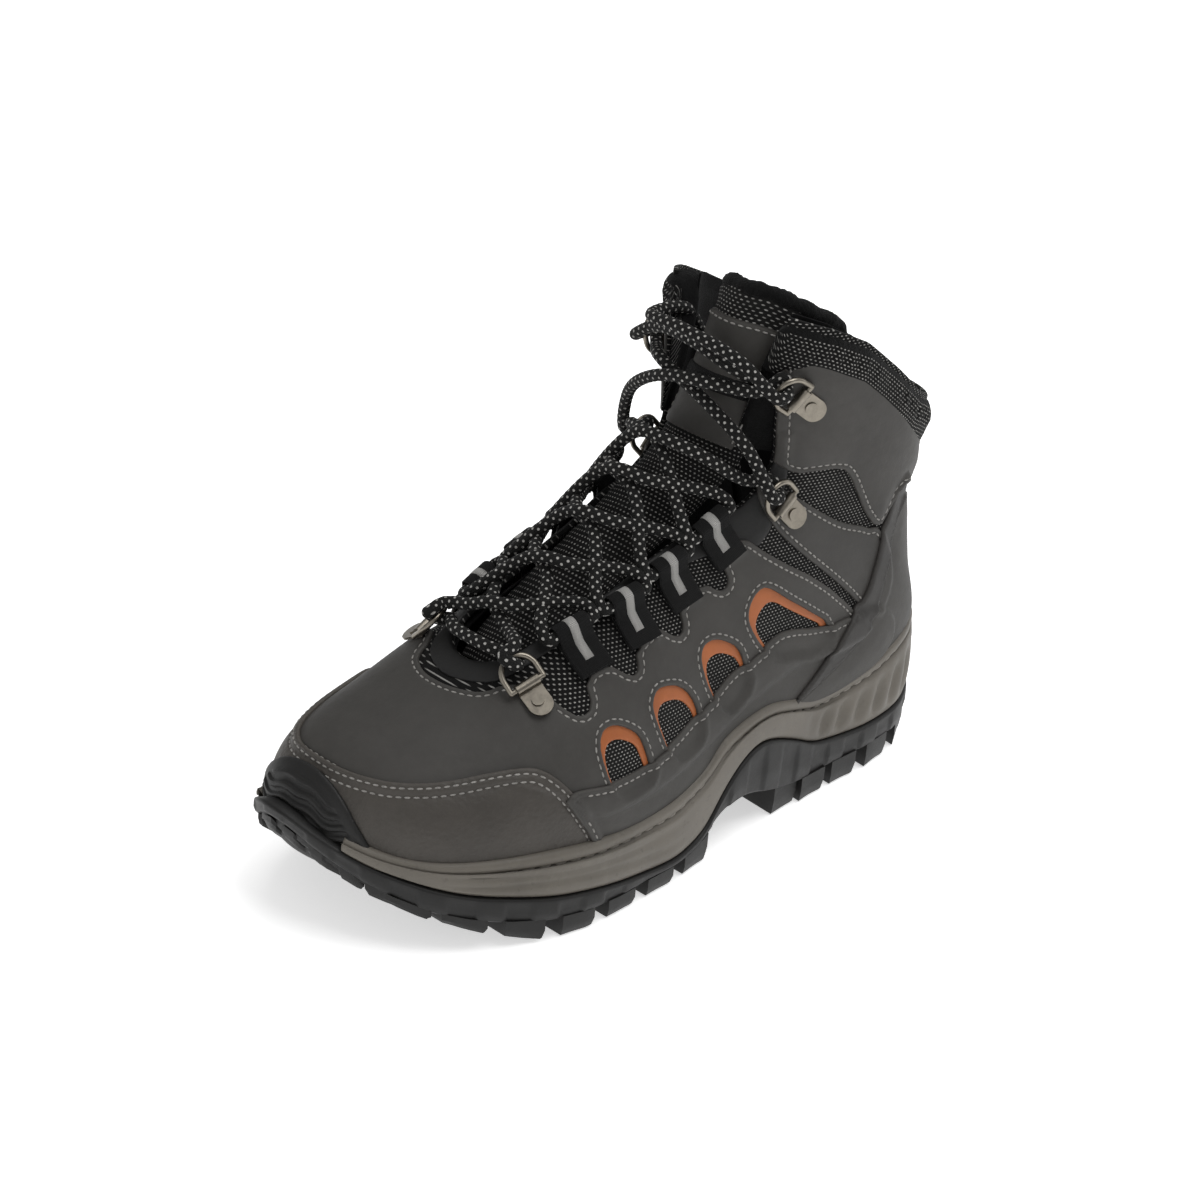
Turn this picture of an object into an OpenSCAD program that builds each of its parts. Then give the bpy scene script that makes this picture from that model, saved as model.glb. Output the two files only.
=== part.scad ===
// Mid-height lace-up hiking boot, left foot. Units mm, Z up, toe toward +X,
// outer (lateral) side toward +Y, ground at z = 0, origin under the middle.

/* [Upper] */
// thickness of the woven base upper
mesh_t = 1.4; // [1:0.1:2]
// thickness of the leather overlays
leather_t = 1.5; // [1.2:0.1:2]
// thickness of the lining
lining_t = 0.8; // [0.6:0.1:1.2]
// extra thickness of the padded collar
collar_pad = 6; // [3:0.5:8]

/* [Sole] */
// height of the studs above the ground under the plate
lug_trim = 0; // [0:0.5:2]
// thickness of the removable footbed
footbed_t = 5; // [3:0.5:7]
// thickness of the insole board
board_t = 2; // [1.5:0.1:2.5]

/* [Fastening] */
// lace diameter
lace_d = 4.5; // [4:0.1:5]
// wire diameter of the D-rings
wire_d = 2; // [1.6:0.1:2.2]
// width of the webbing loops
loop_w = 13; // [11:0.5:15]

/* [Hidden] */
$fn = 32;
off = [5, -4, 0];

// upper sections, toe to cuff: front-top point x z y, bottom-back point x z y,
// outer and inner half width, depth share of the widest line, top and bottom roundness
ST = [
[134, 39,-14, 134, 37,-14, 0.6, 0.6, .50, 1.0, 1.0],
[132, 48,-14, 132, 29,-14, 14, 10, .50, 1.0, 1.0],
[127, 55,-13, 127, 24,-13, 27, 19, .52, .95, .9],
[117, 62,-11, 118, 21,-11, 40, 28, .56, .90, .8],
[103, 68, -8, 105, 19, -8, 48, 36, .60, .88, .7],
[ 85, 76, -4,  87, 18, -5, 53, 42, .64, .90, .6],
[ 66, 88,  0,  68, 17, -1, 54, 46, .68, .95, .6],
[ 45,101,  1,  42, 18,  2, 53, 46, .72, 1.05, .6],
[ 24,114,  1,  10, 19,  4, 48, 43, .75, 1.10, .6],
[  6,126,  1, -24, 22,  4, 42, 40, .76, 1.08, .6],
[-10,138,  1, -64, 26,  3, 39, 38, .72, 1.00, .65],
[-20,149,  1,-124, 27,  2, 38, 37, .62, .92, .70],
[-26,159,  1,-145, 42,  1, 37, 36, .57, .86, .80],
[-30,169,  1,-141, 68,  1, 37, 36, .54, .80, .90],
[-34,179,  1,-137, 94,  1, 38, 37, .52, .74, .95],
[-37,188,  1,-138,116,  1, 40, 39, .50, .70, .95],
[-40,197,  1,-140,138,  1, 42, 41, .50, .66, .95],
[-42,208,  1,-143,158,  1, 43, 42, .50, .66, .95]];
K = len(ST);
function row(j) = ST[max(0, min(K-1, j))];
function crv(s) = let(t = max(0, min(K-1, s)), i = min(floor(t), K-2), f = t-i,
  p1 = row(i), p2 = row(i+1), p0 = i > 0 ? row(i-1) : 2*p1-p2, p3 = i < K-2 ? row(i+2) : 2*p2-p1)
  0.5*(2*p1 + (p2-p0)*f + (2*p0-5*p1+4*p2-p3)*f*f + (3*p1-p0-3*p2+p3)*f*f*f);
// point of the upper at section s and angle a (0 top/front, 90 outer side, -90 inner side, 180 bottom/back)
function S0(s, a0) = let(a = a0 > 180 ? a0-360 : (a0 < -180 ? a0+360 : a0), R = crv(s), b = abs(a), up = b <= 90,
  ca = abs(cos(b)), sa = abs(sin(b)), e = up ? R[9] : R[10],
  q = up ? R[8]*(1-pow(ca, e)) : R[8]+(1-R[8])*pow(ca, e), w = a >= 0 ? R[6] : -R[7])
  [R[0]+(R[3]-R[0])*q, R[2]+(R[5]-R[2])*q+w*pow(sa, e), R[1]+(R[4]-R[1])*q];
function unit(v) = v/max(norm(v), 1e-9);
function SN(s, a) = let(t = max(0.15, min(K-1.05, s)), u = S0(t+.1, a)-S0(t-.1, a), v = S0(t, a+4)-S0(t, a-4)) unit(cross(v, u));
function SP(s, a, h) = S0(s, a) + h*SN(s, a);
// local frame on the upper: columns across (away from the throat), along, normal
function fr(s, a) = let(n = SN(s, a), v = S0(s, a+sign(a)*4)-S0(s, a), x = unit(v-(v*n)*n)) [x, cross(n, x), n];

module skin(R, fan = true) { n = len(R); m = len(R[0]);
  c0 = [for (j = [0:m-1]) 1/m]*R[0]; c1 = [for (j = [0:m-1]) 1/m]*R[n-1];
  polyhedron(points = concat([for (r = R) for (p = r) p], fan ? [c0, c1] : []), faces = concat(
    fan ? [for (j = [0:m-1]) [n*m, (j+1)%m, j]] : [for (j = [0:m/2-2]) each [[m-1-j, m-2-j, j+1], [m-1-j, j+1, j]]],
    fan ? [for (j = [0:m-1]) [n*m+1, (n-1)*m+j, (n-1)*m+(j+1)%m]] : [for (j = [0:m/2-2]) let(o = (n-1)*m) each [[o+m-1-j, o+j+1, o+m-2-j], [o+m-1-j, o+j, o+j+1]]],
    [for (i = [0:n-2]) for (j = [0:m-1]) let(k = (j+1)%m) each [[i*m+j, i*m+k, (i+1)*m+k], [i*m+j, (i+1)*m+k, (i+1)*m+j]]])); }
DA = 12;
DS = 0.5;
function pad(s) = s < 12.5 ? 0 : (s < 14.5 ? collar_pad*(s-12.5)/2 : collar_pad);
// closed solid of the upper offset by h, less p times the collar padding
module body(h, p = 0, s0 = 0, s1 = 17) {
  skin([for (s = [s0:DS:s1]) [for (a = [180:-DA:-179]) SP(s, a, s < .5 && h < 0 ? h*.1 : h-p*pad(s))]]); }
module shell(h0, h1, p0 = 0, p1 = 0, s0 = 0, s1 = 17) { difference() { body(h1, p1, s0, s1); body(h0, p0, max(0, s0-.5), min(17, s1+.5)); } }
module side(pts, y0 = -90, y1 = 90) { translate([0, y1, 0]) rotate([90, 0, 0]) linear_extrude(y1-y0) polygon(pts); }
module plan(pts, z0 = 20, z1 = 260) { translate([0, 0, z0]) linear_extrude(z1-z0) polygon(pts); }
// top edge of the cuff, side view
RIM = [[-30,199],[-41,197],[-60,191],[-75,184],[-92,171],[-108,158],[-125,148],[-150,141]];
module under_rim(d = 0) side(concat([for (p = RIM) [p[0], p[1]-d]], [[-170,141-d],[-170,0],[160,0],[160,199-d]]));
// plan of the throat gap and of the strip around it
THR = [[66,-14],[72,0],[66,14],[45,19],[24,21],[6,21],[-12,23],[-26,27],[-62,31],[-62,-29],[-26,-25],[-12,-21],[6,-19],[24,-19],[45,-17]];
FAC = [[74,-18],[80,-4],[78,8],[72,20],[45,31],[24,34],[6,33],[-12,33],[-26,34],[-45,35],[-45,-33],[-26,-32],[-12,-31],[6,-31],[24,-32],[45,-29]];
CURVE = [[-152,30],[-118,28],[-64,26],[-24,22],[10,19],[42,18],[68,17],[87,18],[105,19],[118,21],[127,24],[140,30]];
module band(k0, k1) side(concat([for (p = CURVE) [p[0], p[1]+k0]], [for (i = [len(CURVE)-1:-1:0]) [CURVE[i][0], CURVE[i][1]+k1]]));

// sole stations: x, outer edge y, inner edge y, plate underside z, plate top z, wall top z
SO = [[-152,3,-3,12,22,52],[-149,16,-15,10.5,21.5,52.5],[-141,27,-26,9,21,53],[-125,37,-34.5,9,20.3,51.5],[-105,41,-37.5,9,19.8,46.5],
[-85,42,-38.5,9,21,43.5],[-70,43.5,-38.5,9,24,43.5],[-58,45.2,-39,10,29.7,46.5],[-44,47,-40.3,13,35.4,50],[-34,48,-40.5,16,36.6,50],[-24,49.3,-41,17,32.7,48.5],
[-14,50.8,-41.6,15,24.6,45.7],[-4,52.6,-42,9.5,14.4,39],[6,54.5,-43,6.5,10.7,35.8],[16,56.3,-44,6,10,33.5],[30,57.5,-46,6,11,32.7],[45,59,-48,6,13,33],
[60,59.5,-50,6.5,15.5,34],[75,57.5,-51,7.5,17.5,35],[90,52.5,-50.5,9.5,20,35],[104,46,-48,12.5,22.8,35],[115,38.5,-44.5,16,26,35.2],[125,28,-39.5,21,30,36.5],[132,18,-34.5,26,34,39],
[138,5,-29,32,39,43],[141.5,-8,-20,37,43,46]];
// underside of the studs, side view
LUGZ = [[-160,6],[-151,4],[-144,0],[75,0],[85,2.5],[96,6],[106,10],[118,15],[129,21],[135,26],[140,33],[144,38]];

module outsole() color([.09,.09,.09]) translate(off) difference() {
  skin([for (r = SO) let(x=r[0], a=r[1], b=r[2], z0=r[3], z1=r[4]-.2) [[x,a-2.5,z0],[x,a-.6,z0+1.5],[x,a-.9,z1-1],[x,a-1.6,z1],[x,b+1.6,z1],[x,b+.9,z1-1],[x,b+.6,z0+1.5],[x,b+2.5,z0]]]);
  for (h = [.4, 1.8, 2]) body(h, 0, 0, 13);
}
module outsole_lugs() color([.09,.09,.09]) translate(off) intersection() {
  side(concat(LUGZ, [for (i = [len(SO)-1:-1:0]) [SO[i][0], SO[i][3]-.05]]));
  plan(concat([for (r = SO) [r[0], r[1]-1.6]], [for (i = [len(SO)-1:-1:0]) [SO[i][0], SO[i][2]+1.6]]), -1, 60);
  union() {
    for (x = [-140,-118,-98,-78]) for (y = [14, -70]) translate([x, y, lug_trim]) cube([13, 56, 50]);
    translate([-62, -50, lug_trim]) cube([12, 100, 50]);
    for (x = [-110,-84]) translate([x, -9, lug_trim]) cube([14, 16, 50]);
    for (x = [-6,15,36,57,78,98,117]) for (y = [22, -66]) translate([x, y, lug_trim]) cube([14, 46, 50]);
    for (x = [4,28,52,76,100]) translate([x, -12, lug_trim]) cube([13, 26, 50]);
    for (y = [-34,-20,-6,8]) translate([129, y, lug_trim]) cube([12, 9, 60]);
  }
}
module toe_bumper() color([.09,.09,.09]) translate(off) difference() {
  intersection() { body(5.4, 0, 0, 6); side([[126,30],[128,38],[130,47],[132,52],[134.5,57.5],[137,60.5],[150,62],[150,25],[126,25]]); }
  body(2.1, 0, 0, 6);
  side(concat([for (r = SO) [r[0], r[4]-.15]], [[150,0],[-152,0]]));
}
module midsole() color([.47,.45,.41]) translate(off) difference() {
  skin([for (r = SO) if (r[0] < 134) let(x=r[0], a=r[1], b=r[2], z0=r[4], z1=r[5]) [[x,a-2,z0],[x,a-.3,z0+2],[x,a-.2,z1-6.5],[x,a-1.6,z1-5.8],[x,a-1.6,z1-4.4],[x,a-2,z1-3.8],[x,a-4.5,z1],
    [x,b+4.5,z1],[x,b+2,z1-3.8],[x,b+1.6,z1-4.4],[x,b+1.6,z1-5.8],[x,b+.2,z1-6.5],[x,b+.3,z0+2],[x,b+2,z0]]]);
  for (h = [.4, 1.8, 2]) body(h, 0, 0, 15);
  side([[125.6,20],[125.6,30],[127.7,38],[129.6,47],[150,47],[150,20]]);
}
// stitches lying in the groove of the sole wall
module sidewall_stitching() color([.62,.6,.56]) translate(off) for (i = [4:len(SO)-6]) for (m = [1,-1])
  let(r = SO[i], q = SO[i+1], a = [r[0], m > 0 ? r[1]-.95 : r[2]+.95, r[5]-5.1], b = [q[0], m > 0 ? q[1]-.95 : q[2]+.95, q[5]-5.1], d = b-a, n = max(1, floor(norm(d)/7)))
  for (k = [0:n-1]) translate(a+d*((k+.15)/n)) rotate([0, acos(d[2]/norm(d)), atan2(d[1], d[0])]) cylinder(d = 1, h = norm(d)*.7/n, $fn = 8);
module shank() color([.75,.75,.76]) translate(off) side([[-96,30.2],[-64,28.2],[-24,24.2],[-4,22.5],[-4,23.4],[-24,25.1],[-64,29.1],[-96,31.1]], -9, 11);
module insole_board() color([.55,.45,.33]) translate(off) difference() { intersection() { body(-1.8, 0, 0, 13); band(1.9, 1.9+board_t); }
  side([[-98,29],[-64,27],[-24,23],[-2,21.3],[-2,23.7],[-24,25.4],[-64,29.4],[-98,31.4]], -10, 12); }
module footbed() color([.2,.2,.21]) translate(off) intersection() { body(-5.2, 0, 0, 13); band(2.4+board_t, 2.4+board_t+footbed_t); }
module mesh_upper() color([.16,.16,.16]) translate(off) difference() { intersection() { shell(-mesh_t, 0); under_rim(0); } plan(THR, 60, 260); }
module lining() color([.1,.1,.1]) translate(off) difference() {
  intersection() { shell(-3-lining_t, -3, 1, 1); under_rim(.6); side(concat([for (p = CURVE) [p[0], p[1]+7]], [[160,40],[160,260],[-170,260],[-170,36]])); }
  plan(THR, 60, 260); }
module collar_padding() color([.22,.22,.2]) translate(off) difference() {
  intersection() { shell(-2.7, -1.7, 1, 0, 13.5, 17); under_rim(.6); }
  plan([[80,-33],[80,35],[-66,35],[-66,-33]], 60, 260); }
module toe_puff() color([.6,.57,.5]) translate(off) intersection() { shell(-2.7, -1.7, 0, 0, 0, 8); side([[84,34],[90,120],[150,120],[150,34]]); }
module heel_counter() color([.6,.57,.5]) translate(off) intersection() { shell(-2.7, -1.7, 0, 0, 9, 14); side([[-70,40],[-88,60],[-150,74],[-160,74],[-160,40]]); }

// tongue: centre line x z, half widths outer and inner, depth of its curl, sideways shift
TG = [[62,80,15,15,2,0],[46,91,17,17,2.5,0],[26,103,18,18,3,0],[8,115,18,18,3,1],[-8,126,19,19,4,2],[-20,137,19,19,7,3],[-27,149,18,18,12,4],[-31,162,17,18,19,5],[-34,175,19,18,25,6],[-37,188,21,18,28,6],[-41,199,19,15,24,6]];
function tg(i, v, h) = let(r = TG[i], r0 = TG[max(0, i-1)], r1 = TG[min(len(TG)-1, i+1)], d = unit([r1[0]-r0[0], 0, r1[1]-r0[1]]), n = [d[2], 0, -d[0]], w = v > 0 ? r[2] : r[3],
  b = unit([n[0]*cos(v*60), sin(v*60), n[2]*cos(v*60)])) [r[0], r[5]+w*sin(v*80)/sin(80), r[1]] - n*(r[4]*(1-cos(v*80))/(1-cos(80))) + h*b;
module tsheet(h0, h1, i0 = 0, i1 = 10, w = 1) skin([for (i = [i0:i1]) concat([for (k = [-4:4]) tg(i, k/4*w, h1)], [for (k = [4:-1:-4]) tg(i, k/4*w, h0)])], false);
module tongue_shell() color([.16,.16,.16]) translate(off) tsheet(-2.6, -1.4);
module tongue_padding() color([.24,.24,.22]) translate(off) tsheet(-8.6, -3.7, 4, 10, .92);
module tongue_patch() color([.3,.29,.27]) translate(off) tsheet(-1.05, -.05, 6, 9, .62);

module facing2d(P) plan(P, 50, 260);
module throat_facing() color([.13,.13,.13]) translate(off) difference() {
  intersection() { shell(.1, 1.1, 0, 0, 4, 13.5); facing2d(FAC); side([[90,60],[90,150],[-8,150],[-36,150],[-36,128],[-30,112],[40,60]]); }
  plan(THR, 50, 260); }
// outlines, side view
TOE = [[127,58.5],[118,57.5],[110,57],[100,59],[89,61],[79,63],[75,62],[70,58],[65,51],[60,44],[54,30]];
MUD = [[63,52],[50,51],[32,52],[19,54],[10,56],[1,59],[-11,62],[-19,67],[-30,69],[-42,74],[-49,76],[-70,70.5],[-84,71]];
W4 = [[52,63],[47,70],[38,69],[31,63],[31,54.5],[50,54.5]];
W3 = [[24,68],[20,73.5],[9,72],[2,66],[1.5,62],[12,59],[20,57]];
W2 = [[-3,75],[-8,80],[-17,79],[-25,73],[-27,71],[-19,70],[-11,65.5],[-4,63.5]];
W1 = [[-28,87],[-36,95],[-42,94.5],[-58,84],[-74,74.5],[-69,73.5],[-49,79],[-42,77],[-33,73]];
function cen(P) = [for (k = [0,1]) let(n = len(P)) [for (p = P) p[k]]*[for (p = P) 1]/n];
function grow(P, f) = let(c = cen(P)) [for (p = P) c+(p-c)*f];
module vamp_quarter() color([.27,.26,.25]) translate(off) difference() {
  intersection() { shell(.1, .1+leather_t, 0, 0, 1, 13);
    side(concat([for (p = TOE) if (p[0] > 62) [p[0]-.4, p[1]+.6]], [for (p = MUD) [p[0], p[1]+.5]], [[-85,75],[-67,91],[-46,105],[-30,117],[-19,109],[-24,101],[-21,97.5],[-16,99],[-12,104],[2,98],[0,89],[4,86],[9,88],[12,95],[27,90],[25,82.5],[30,80.5],[35,82],[36,88],[49,84.5],[49,76],[55,73],[59,76],[61,83],[66,110],[127,110]])); }
  plan([[81,-4],[78,9],[75,15],[72,20.6],[60,33],[40,40],[40,-38],[60,-31],[72,-20],[77,-14]], 84, 200);
  plan([[81,-4],[78,9],[75,15],[72,20.6],[60,30],[60,-28],[72,-20],[77,-14]], 50, 200);
  for (W = [W4, W3, W2, W1]) side(W);
  plan(FAC, 50, 260);
}
module toe_cap() color([.28,.27,.25]) translate(off) difference() { intersection() { shell(.1, .1+leather_t, 0, 0, 0, 9); side(concat(TOE, [[54,27],[150,27],[150,60]])); }
  side([[125,20],[127.6,38],[129.6,47],[131.6,52],[134.1,57.5],[136.6,60.8],[150,62.5],[150,20]]); }
module mud(y0, y1) intersection() { shell(.1, .1+leather_t, 0, 0, 4, 13.5); side(concat([for (p = MUD) if (p[0] < 60) p], [[-79.4,65.3],[-70.4,56.7],[-62.5,44.6],[-57,44.6],[-45,45],[-30,44],[-22,37],[-14,30],[0,28],[53,28],[59,44]]), y0, y1); }
module mudguard_lateral() color([.27,.26,.25]) translate(off) mud(1, 90);
module mudguard_medial() color([.27,.26,.25]) translate(off) mud(-90, -1);
module heel_panel() color([.27,.26,.25]) translate(off) intersection() { shell(.1, .1+leather_t, 0, 0, 9, 15);
  side([[-64.4,41.5],[-65,43.4],[-82.5,59],[-91.9,66],[-98.6,76.8],[-101.8,88],[-105.6,97],[-108.6,106],[-112,118],[-150,121.5],[-160,121.5],[-160,42],[-112,42]]); }
module stay(y0, y1) intersection() { shell(.1, 1.9, 0, 0, 9, 15.5); side([[-64.5,43.8],[-82,59.6],[-91.4,66.7],[-98,77],[-101.2,88],[-105,97],[-108,106],[-111.4,117.6],[-107.5,119.6],[-103.2,107.6],[-100,97],[-97.4,90],[-91.3,80],[-84.8,71.6],[-80,65],[-71,56.3],[-63.2,44.2]], y0, y1); }
module backstay_lateral() color([.2,.2,.19]) translate(off) stay(1, 90);
module backstay_medial() color([.2,.2,.19]) translate(off) stay(-90, -1);
COL = [[-41,179],[-45,187],[-51,188.5],[-61,184],[-75,176.5],[-88,166],[-100,153.5],[-112,143],[-150,134],[-160,134],[-160,123],[-112,120.6],[-107,122.5],[-99,108],[-91,109],[-82,122],[-73,134],[-60,137],[-53,136],[-45,141],[-38,147],[-36,152],[-39,157]];
module col(y0, y1) intersection() { shell(.1, .1+leather_t, 0, 0, 10, 17); side(COL, y0, y1); plan([[-200,90],[-200,-90],[0,-90],[0,-25],[-60,-25],[-60,27],[0,27],[0,90]], 60, 260); }
module collar_panel_lateral() color([.27,.26,.25]) translate(off) col(1, 90);
module collar_panel_medial() color([.27,.26,.25]) translate(off) col(-90, -.2);
module ank(y0, y1) intersection() { shell(.1, .1+leather_t, 0, 0, 9, 14); side([[-40,136],[-52,128],[-66,119],[-77,111],[-89,107],[-98,106.5],[-102.4,107.4],[-99.4,97.2],[-96.8,90.5],[-90.6,80.8],[-86,75.4],[-79,84],[-67,94],[-55,104],[-45,114],[-38,127]], y0, y1); }
module ankle_panel_lateral() color([.25,.24,.23]) translate(off) ank(28, 90);
module ankle_panel_medial() color([.25,.24,.23]) translate(off) ank(-90, -26);
module trims(y0, y1) for (W = [W4, W3, W2, W1]) intersection() { shell(.1, .9, 0, 0, 6, 12.5); difference() { side(grow(W, .97), y0, y1); side(grow(W, .72), -99, 99); } }
module window_trims_lateral() color([.62,.33,.16]) translate(off) trims(1, 90);
module window_trims_medial() color([.62,.33,.16]) translate(off) trims(-90, -1);

// lace stations: section, outer angle, inner angle
EY = [[6.02,29,-29],[7.05,26,-27],[8.0,32,-32],[9.0,35,-35],[10.0,37,-38],[11.35,54,-54],[14.05,52,-52]];
BAR = 4.0;
function eye(i, m) = EY[i][m > 0 ? 1 : 2];
module onto(i, m, h = 0) { s = EY[i][0]; a = eye(i, m); F = fr(s, a); o = SP(s, a, h);
  multmatrix([[F[0][0],F[1][0],F[2][0],o[0]],[F[0][1],F[1][1],F[2][1],o[1]],[F[0][2],F[1][2],F[2][2],o[2]],[0,0,0,1]]) children(); }
RT = 16;
RL = 11;
module clip(i, m) color([.52,.48,.42]) translate(off) onto(i, m, BAR) difference() {
  union() { rotate([90,0,0]) cylinder(r = 1.9, h = 9, center = true); translate([0,-4.5,-1.9]) cube([8,9,1]); translate([8,0,-1.9]) cylinder(r = 4.5, h = 1); }
  rotate([90,0,0]) cylinder(r = wire_d/2+.08, h = 20, center = true);
  translate([6.5,0,-3]) cylinder(r = 1.6, h = 5);
}
module clip_rivets() color([.45,.42,.38]) translate(off) for (i = [0,5,6]) for (m = [1,-1]) onto(i, m, BAR) translate([6.5,0,0]) { translate([0,0,-1.85]) cylinder(r = 1.5, h = 1.3); translate([0,0,-.85]) cylinder(r = 2.3, h = .6); }
module dring(i, m) color([.5,.47,.42]) translate(off) onto(i, m, BAR) rotate([0, RT, 0]) {
  rotate([90,0,0]) cylinder(d = wire_d, h = 13, center = true);
  for (k = [-1,1]) translate([0, k*6.5, 0]) { sphere(d = wire_d, $fn = 24); rotate([0,-90,0]) cylinder(d = wire_d, h = RL-6.5); }
  translate([-(RL-6.5), 0, 0]) rotate([0,0,90]) rotate_extrude(angle = 180) translate([6.5, 0]) circle(d = wire_d, $fn = 20);
}
module clip_lateral_0() clip(0, 1);
module clip_medial_0() clip(0, -1);
module clip_lateral_5() clip(5, 1);
module clip_medial_5() clip(5, -1);
module clip_lateral_6() clip(6, 1);
module clip_medial_6() clip(6, -1);
module dring_lateral_0() dring(0, 1);
module dring_medial_0() dring(0, -1);
module dring_lateral_5() dring(5, 1);
module dring_medial_5() dring(5, -1);
module dring_lateral_6() dring(6, 1);
module dring_medial_6() dring(6, -1);

// webbing loop: a strap folded round the lace, its two plies sewn down toward the sole
TH = 5.4;
module strap(i, m) onto(i, m, TH) rotate([90,0,0]) translate([0,0,-loop_w/2]) linear_extrude(loop_w) difference() {
  union() { circle(r = lace_d/2+1.3); translate([0,-lace_d/2-1.3]) square([12, 2]); }
  circle(r = lace_d/2+.35);
}
module webbing_lateral() color([.12,.12,.12]) translate(off) for (i = [1:4]) strap(i, 1);
module webbing_medial() color([.12,.12,.12]) translate(off) for (i = [1:4]) strap(i, -1);

// lace route. m = side the strand leaves from, w = +1 outgoing end, -1 incoming end
function tun(i, m) = let(s = EY[i][0], a = eye(i, m), F = fr(s, a), o = SP(s, a, TH), d = F[1][0] < 0 ? F[1] : -F[1], x = F[0])
  [o-x*5.4-d*9, o-d*9.3, o, o+d*9.3, o-x*5.4+d*9];
function wrap(i, m) = let(s = EY[i][0], a = eye(i, m), F = fr(s, a), o = SP(s, a, BAR), d = F[1][0] < 0 ? F[1] : -F[1], x = F[0], n = F[2],
  c = o - x*RL*cos(RT) + n*RL*sin(RT)) [for (k = [-90,-45,0,45,90]) c + x*3.9*cos(k) + n*3.9*sin(k) + d*(k/90*2.9)];
// strand from eyelet i on side k to eyelet i+1 on the other side; the strand from the inner side lies on top
function pass(i, k) = [for (q = concat(i == 0 || i == 5 ? [[.2, 10.8]] : [], k > 0 ? [[.36, 4.9],[.64, 4.9]] : [[.36, 9.4],[.5, 10.4],[.64, 9.4]], i > 3 ? [[.83, 3.5]] : []))
  SP(EY[i][0]+(EY[i+1][0]-EY[i][0])*q[0], eye(i, k)*(1-q[0])+eye(i+1, -k)*q[0], q[1])];
function thru(i, m) = i == 0 || i > 4 ? wrap(i, m) : tun(i, m);
function strand(m) = concat([for (i = [0:5]) let(k = i%2 == 0 ? m : -m) each concat(thru(i, k), pass(i, k))], thru(6, m));
TAIL = [[SP(14.3, 22, 11.5), SP(14.4, 0, 13), SP(14.5, -16, 12), [-47,-21,182], [-58,-23,170], [-70,-22,150], [-77,-21,128], [-82,-20,106]],
 [SP(14.1, -24, 6), SP(14.0, 0, 6.2), SP(13.8, 18, 6), [-46,24.6,166], [-58,25.2,155], [-70,23,138], [-79,21,116], [-86,19,96]]];
function rev(p) = [for (i = [len(p)-1:-1:0]) p[i]];
ROUTE = concat(rev(TAIL[1]), rev(strand(-1)), [SP(6.0, -8, 6.2), SP(6.0, 8, 6.2)], strand(1), TAIL[0]);
function ptr(p, i, n) = i >= len(p)-1 ? [n] : let(t = unit(p[min(len(p)-1, i+2)]-p[i]), m = unit(n-(n*t)*t)) concat([n], ptr(p, i+1, m));
module lace() color([.1,.1,.1]) translate(off) { p = ROUTE; N = ptr(p, 0, unit(cross(p[1]-p[0], [1,.1,.2])));
  skin([for (i = [0:len(p)-1]) let(t = unit(p[min(len(p)-1, i+1)]-p[max(0, i-1)]), n = unit(N[i]-(N[i]*t)*t), b = cross(t, n)) [for (k = [0:7]) p[i]+lace_d/2*(cos(k*45)*n+sin(k*45)*b)]]); }
module tip(p, q) { d = q-p; translate(q+unit(d)*.1) rotate([0, acos(d[2]/norm(d)), atan2(d[1], d[0])]) cylinder(d = 3.4, h = 22); }
module aglets() color([.05,.05,.05]) translate(off) { tip(TAIL[0][6], TAIL[0][7]); tip(TAIL[1][6], TAIL[1][7]); }

outsole();
outsole_lugs();
toe_bumper();
midsole();
sidewall_stitching();
shank();
insole_board();
footbed();
mesh_upper();
lining();
collar_padding();
toe_puff();
heel_counter();
tongue_shell();
tongue_padding();
tongue_patch();
throat_facing();
vamp_quarter();
toe_cap();
mudguard_lateral();
mudguard_medial();
heel_panel();
backstay_lateral();
backstay_medial();
collar_panel_lateral();
collar_panel_medial();
ankle_panel_lateral();
ankle_panel_medial();
window_trims_lateral();
window_trims_medial();
clip_lateral_0();
clip_medial_0();
clip_lateral_5();
clip_medial_5();
clip_lateral_6();
clip_medial_6();
clip_rivets();
dring_lateral_0();
dring_medial_0();
dring_lateral_5();
dring_medial_5();
dring_lateral_6();
dring_medial_6();
webbing_lateral();
webbing_medial();
lace();
aglets();
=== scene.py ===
import bpy, json, math
import numpy as np
from mathutils import Matrix, Vector


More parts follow.
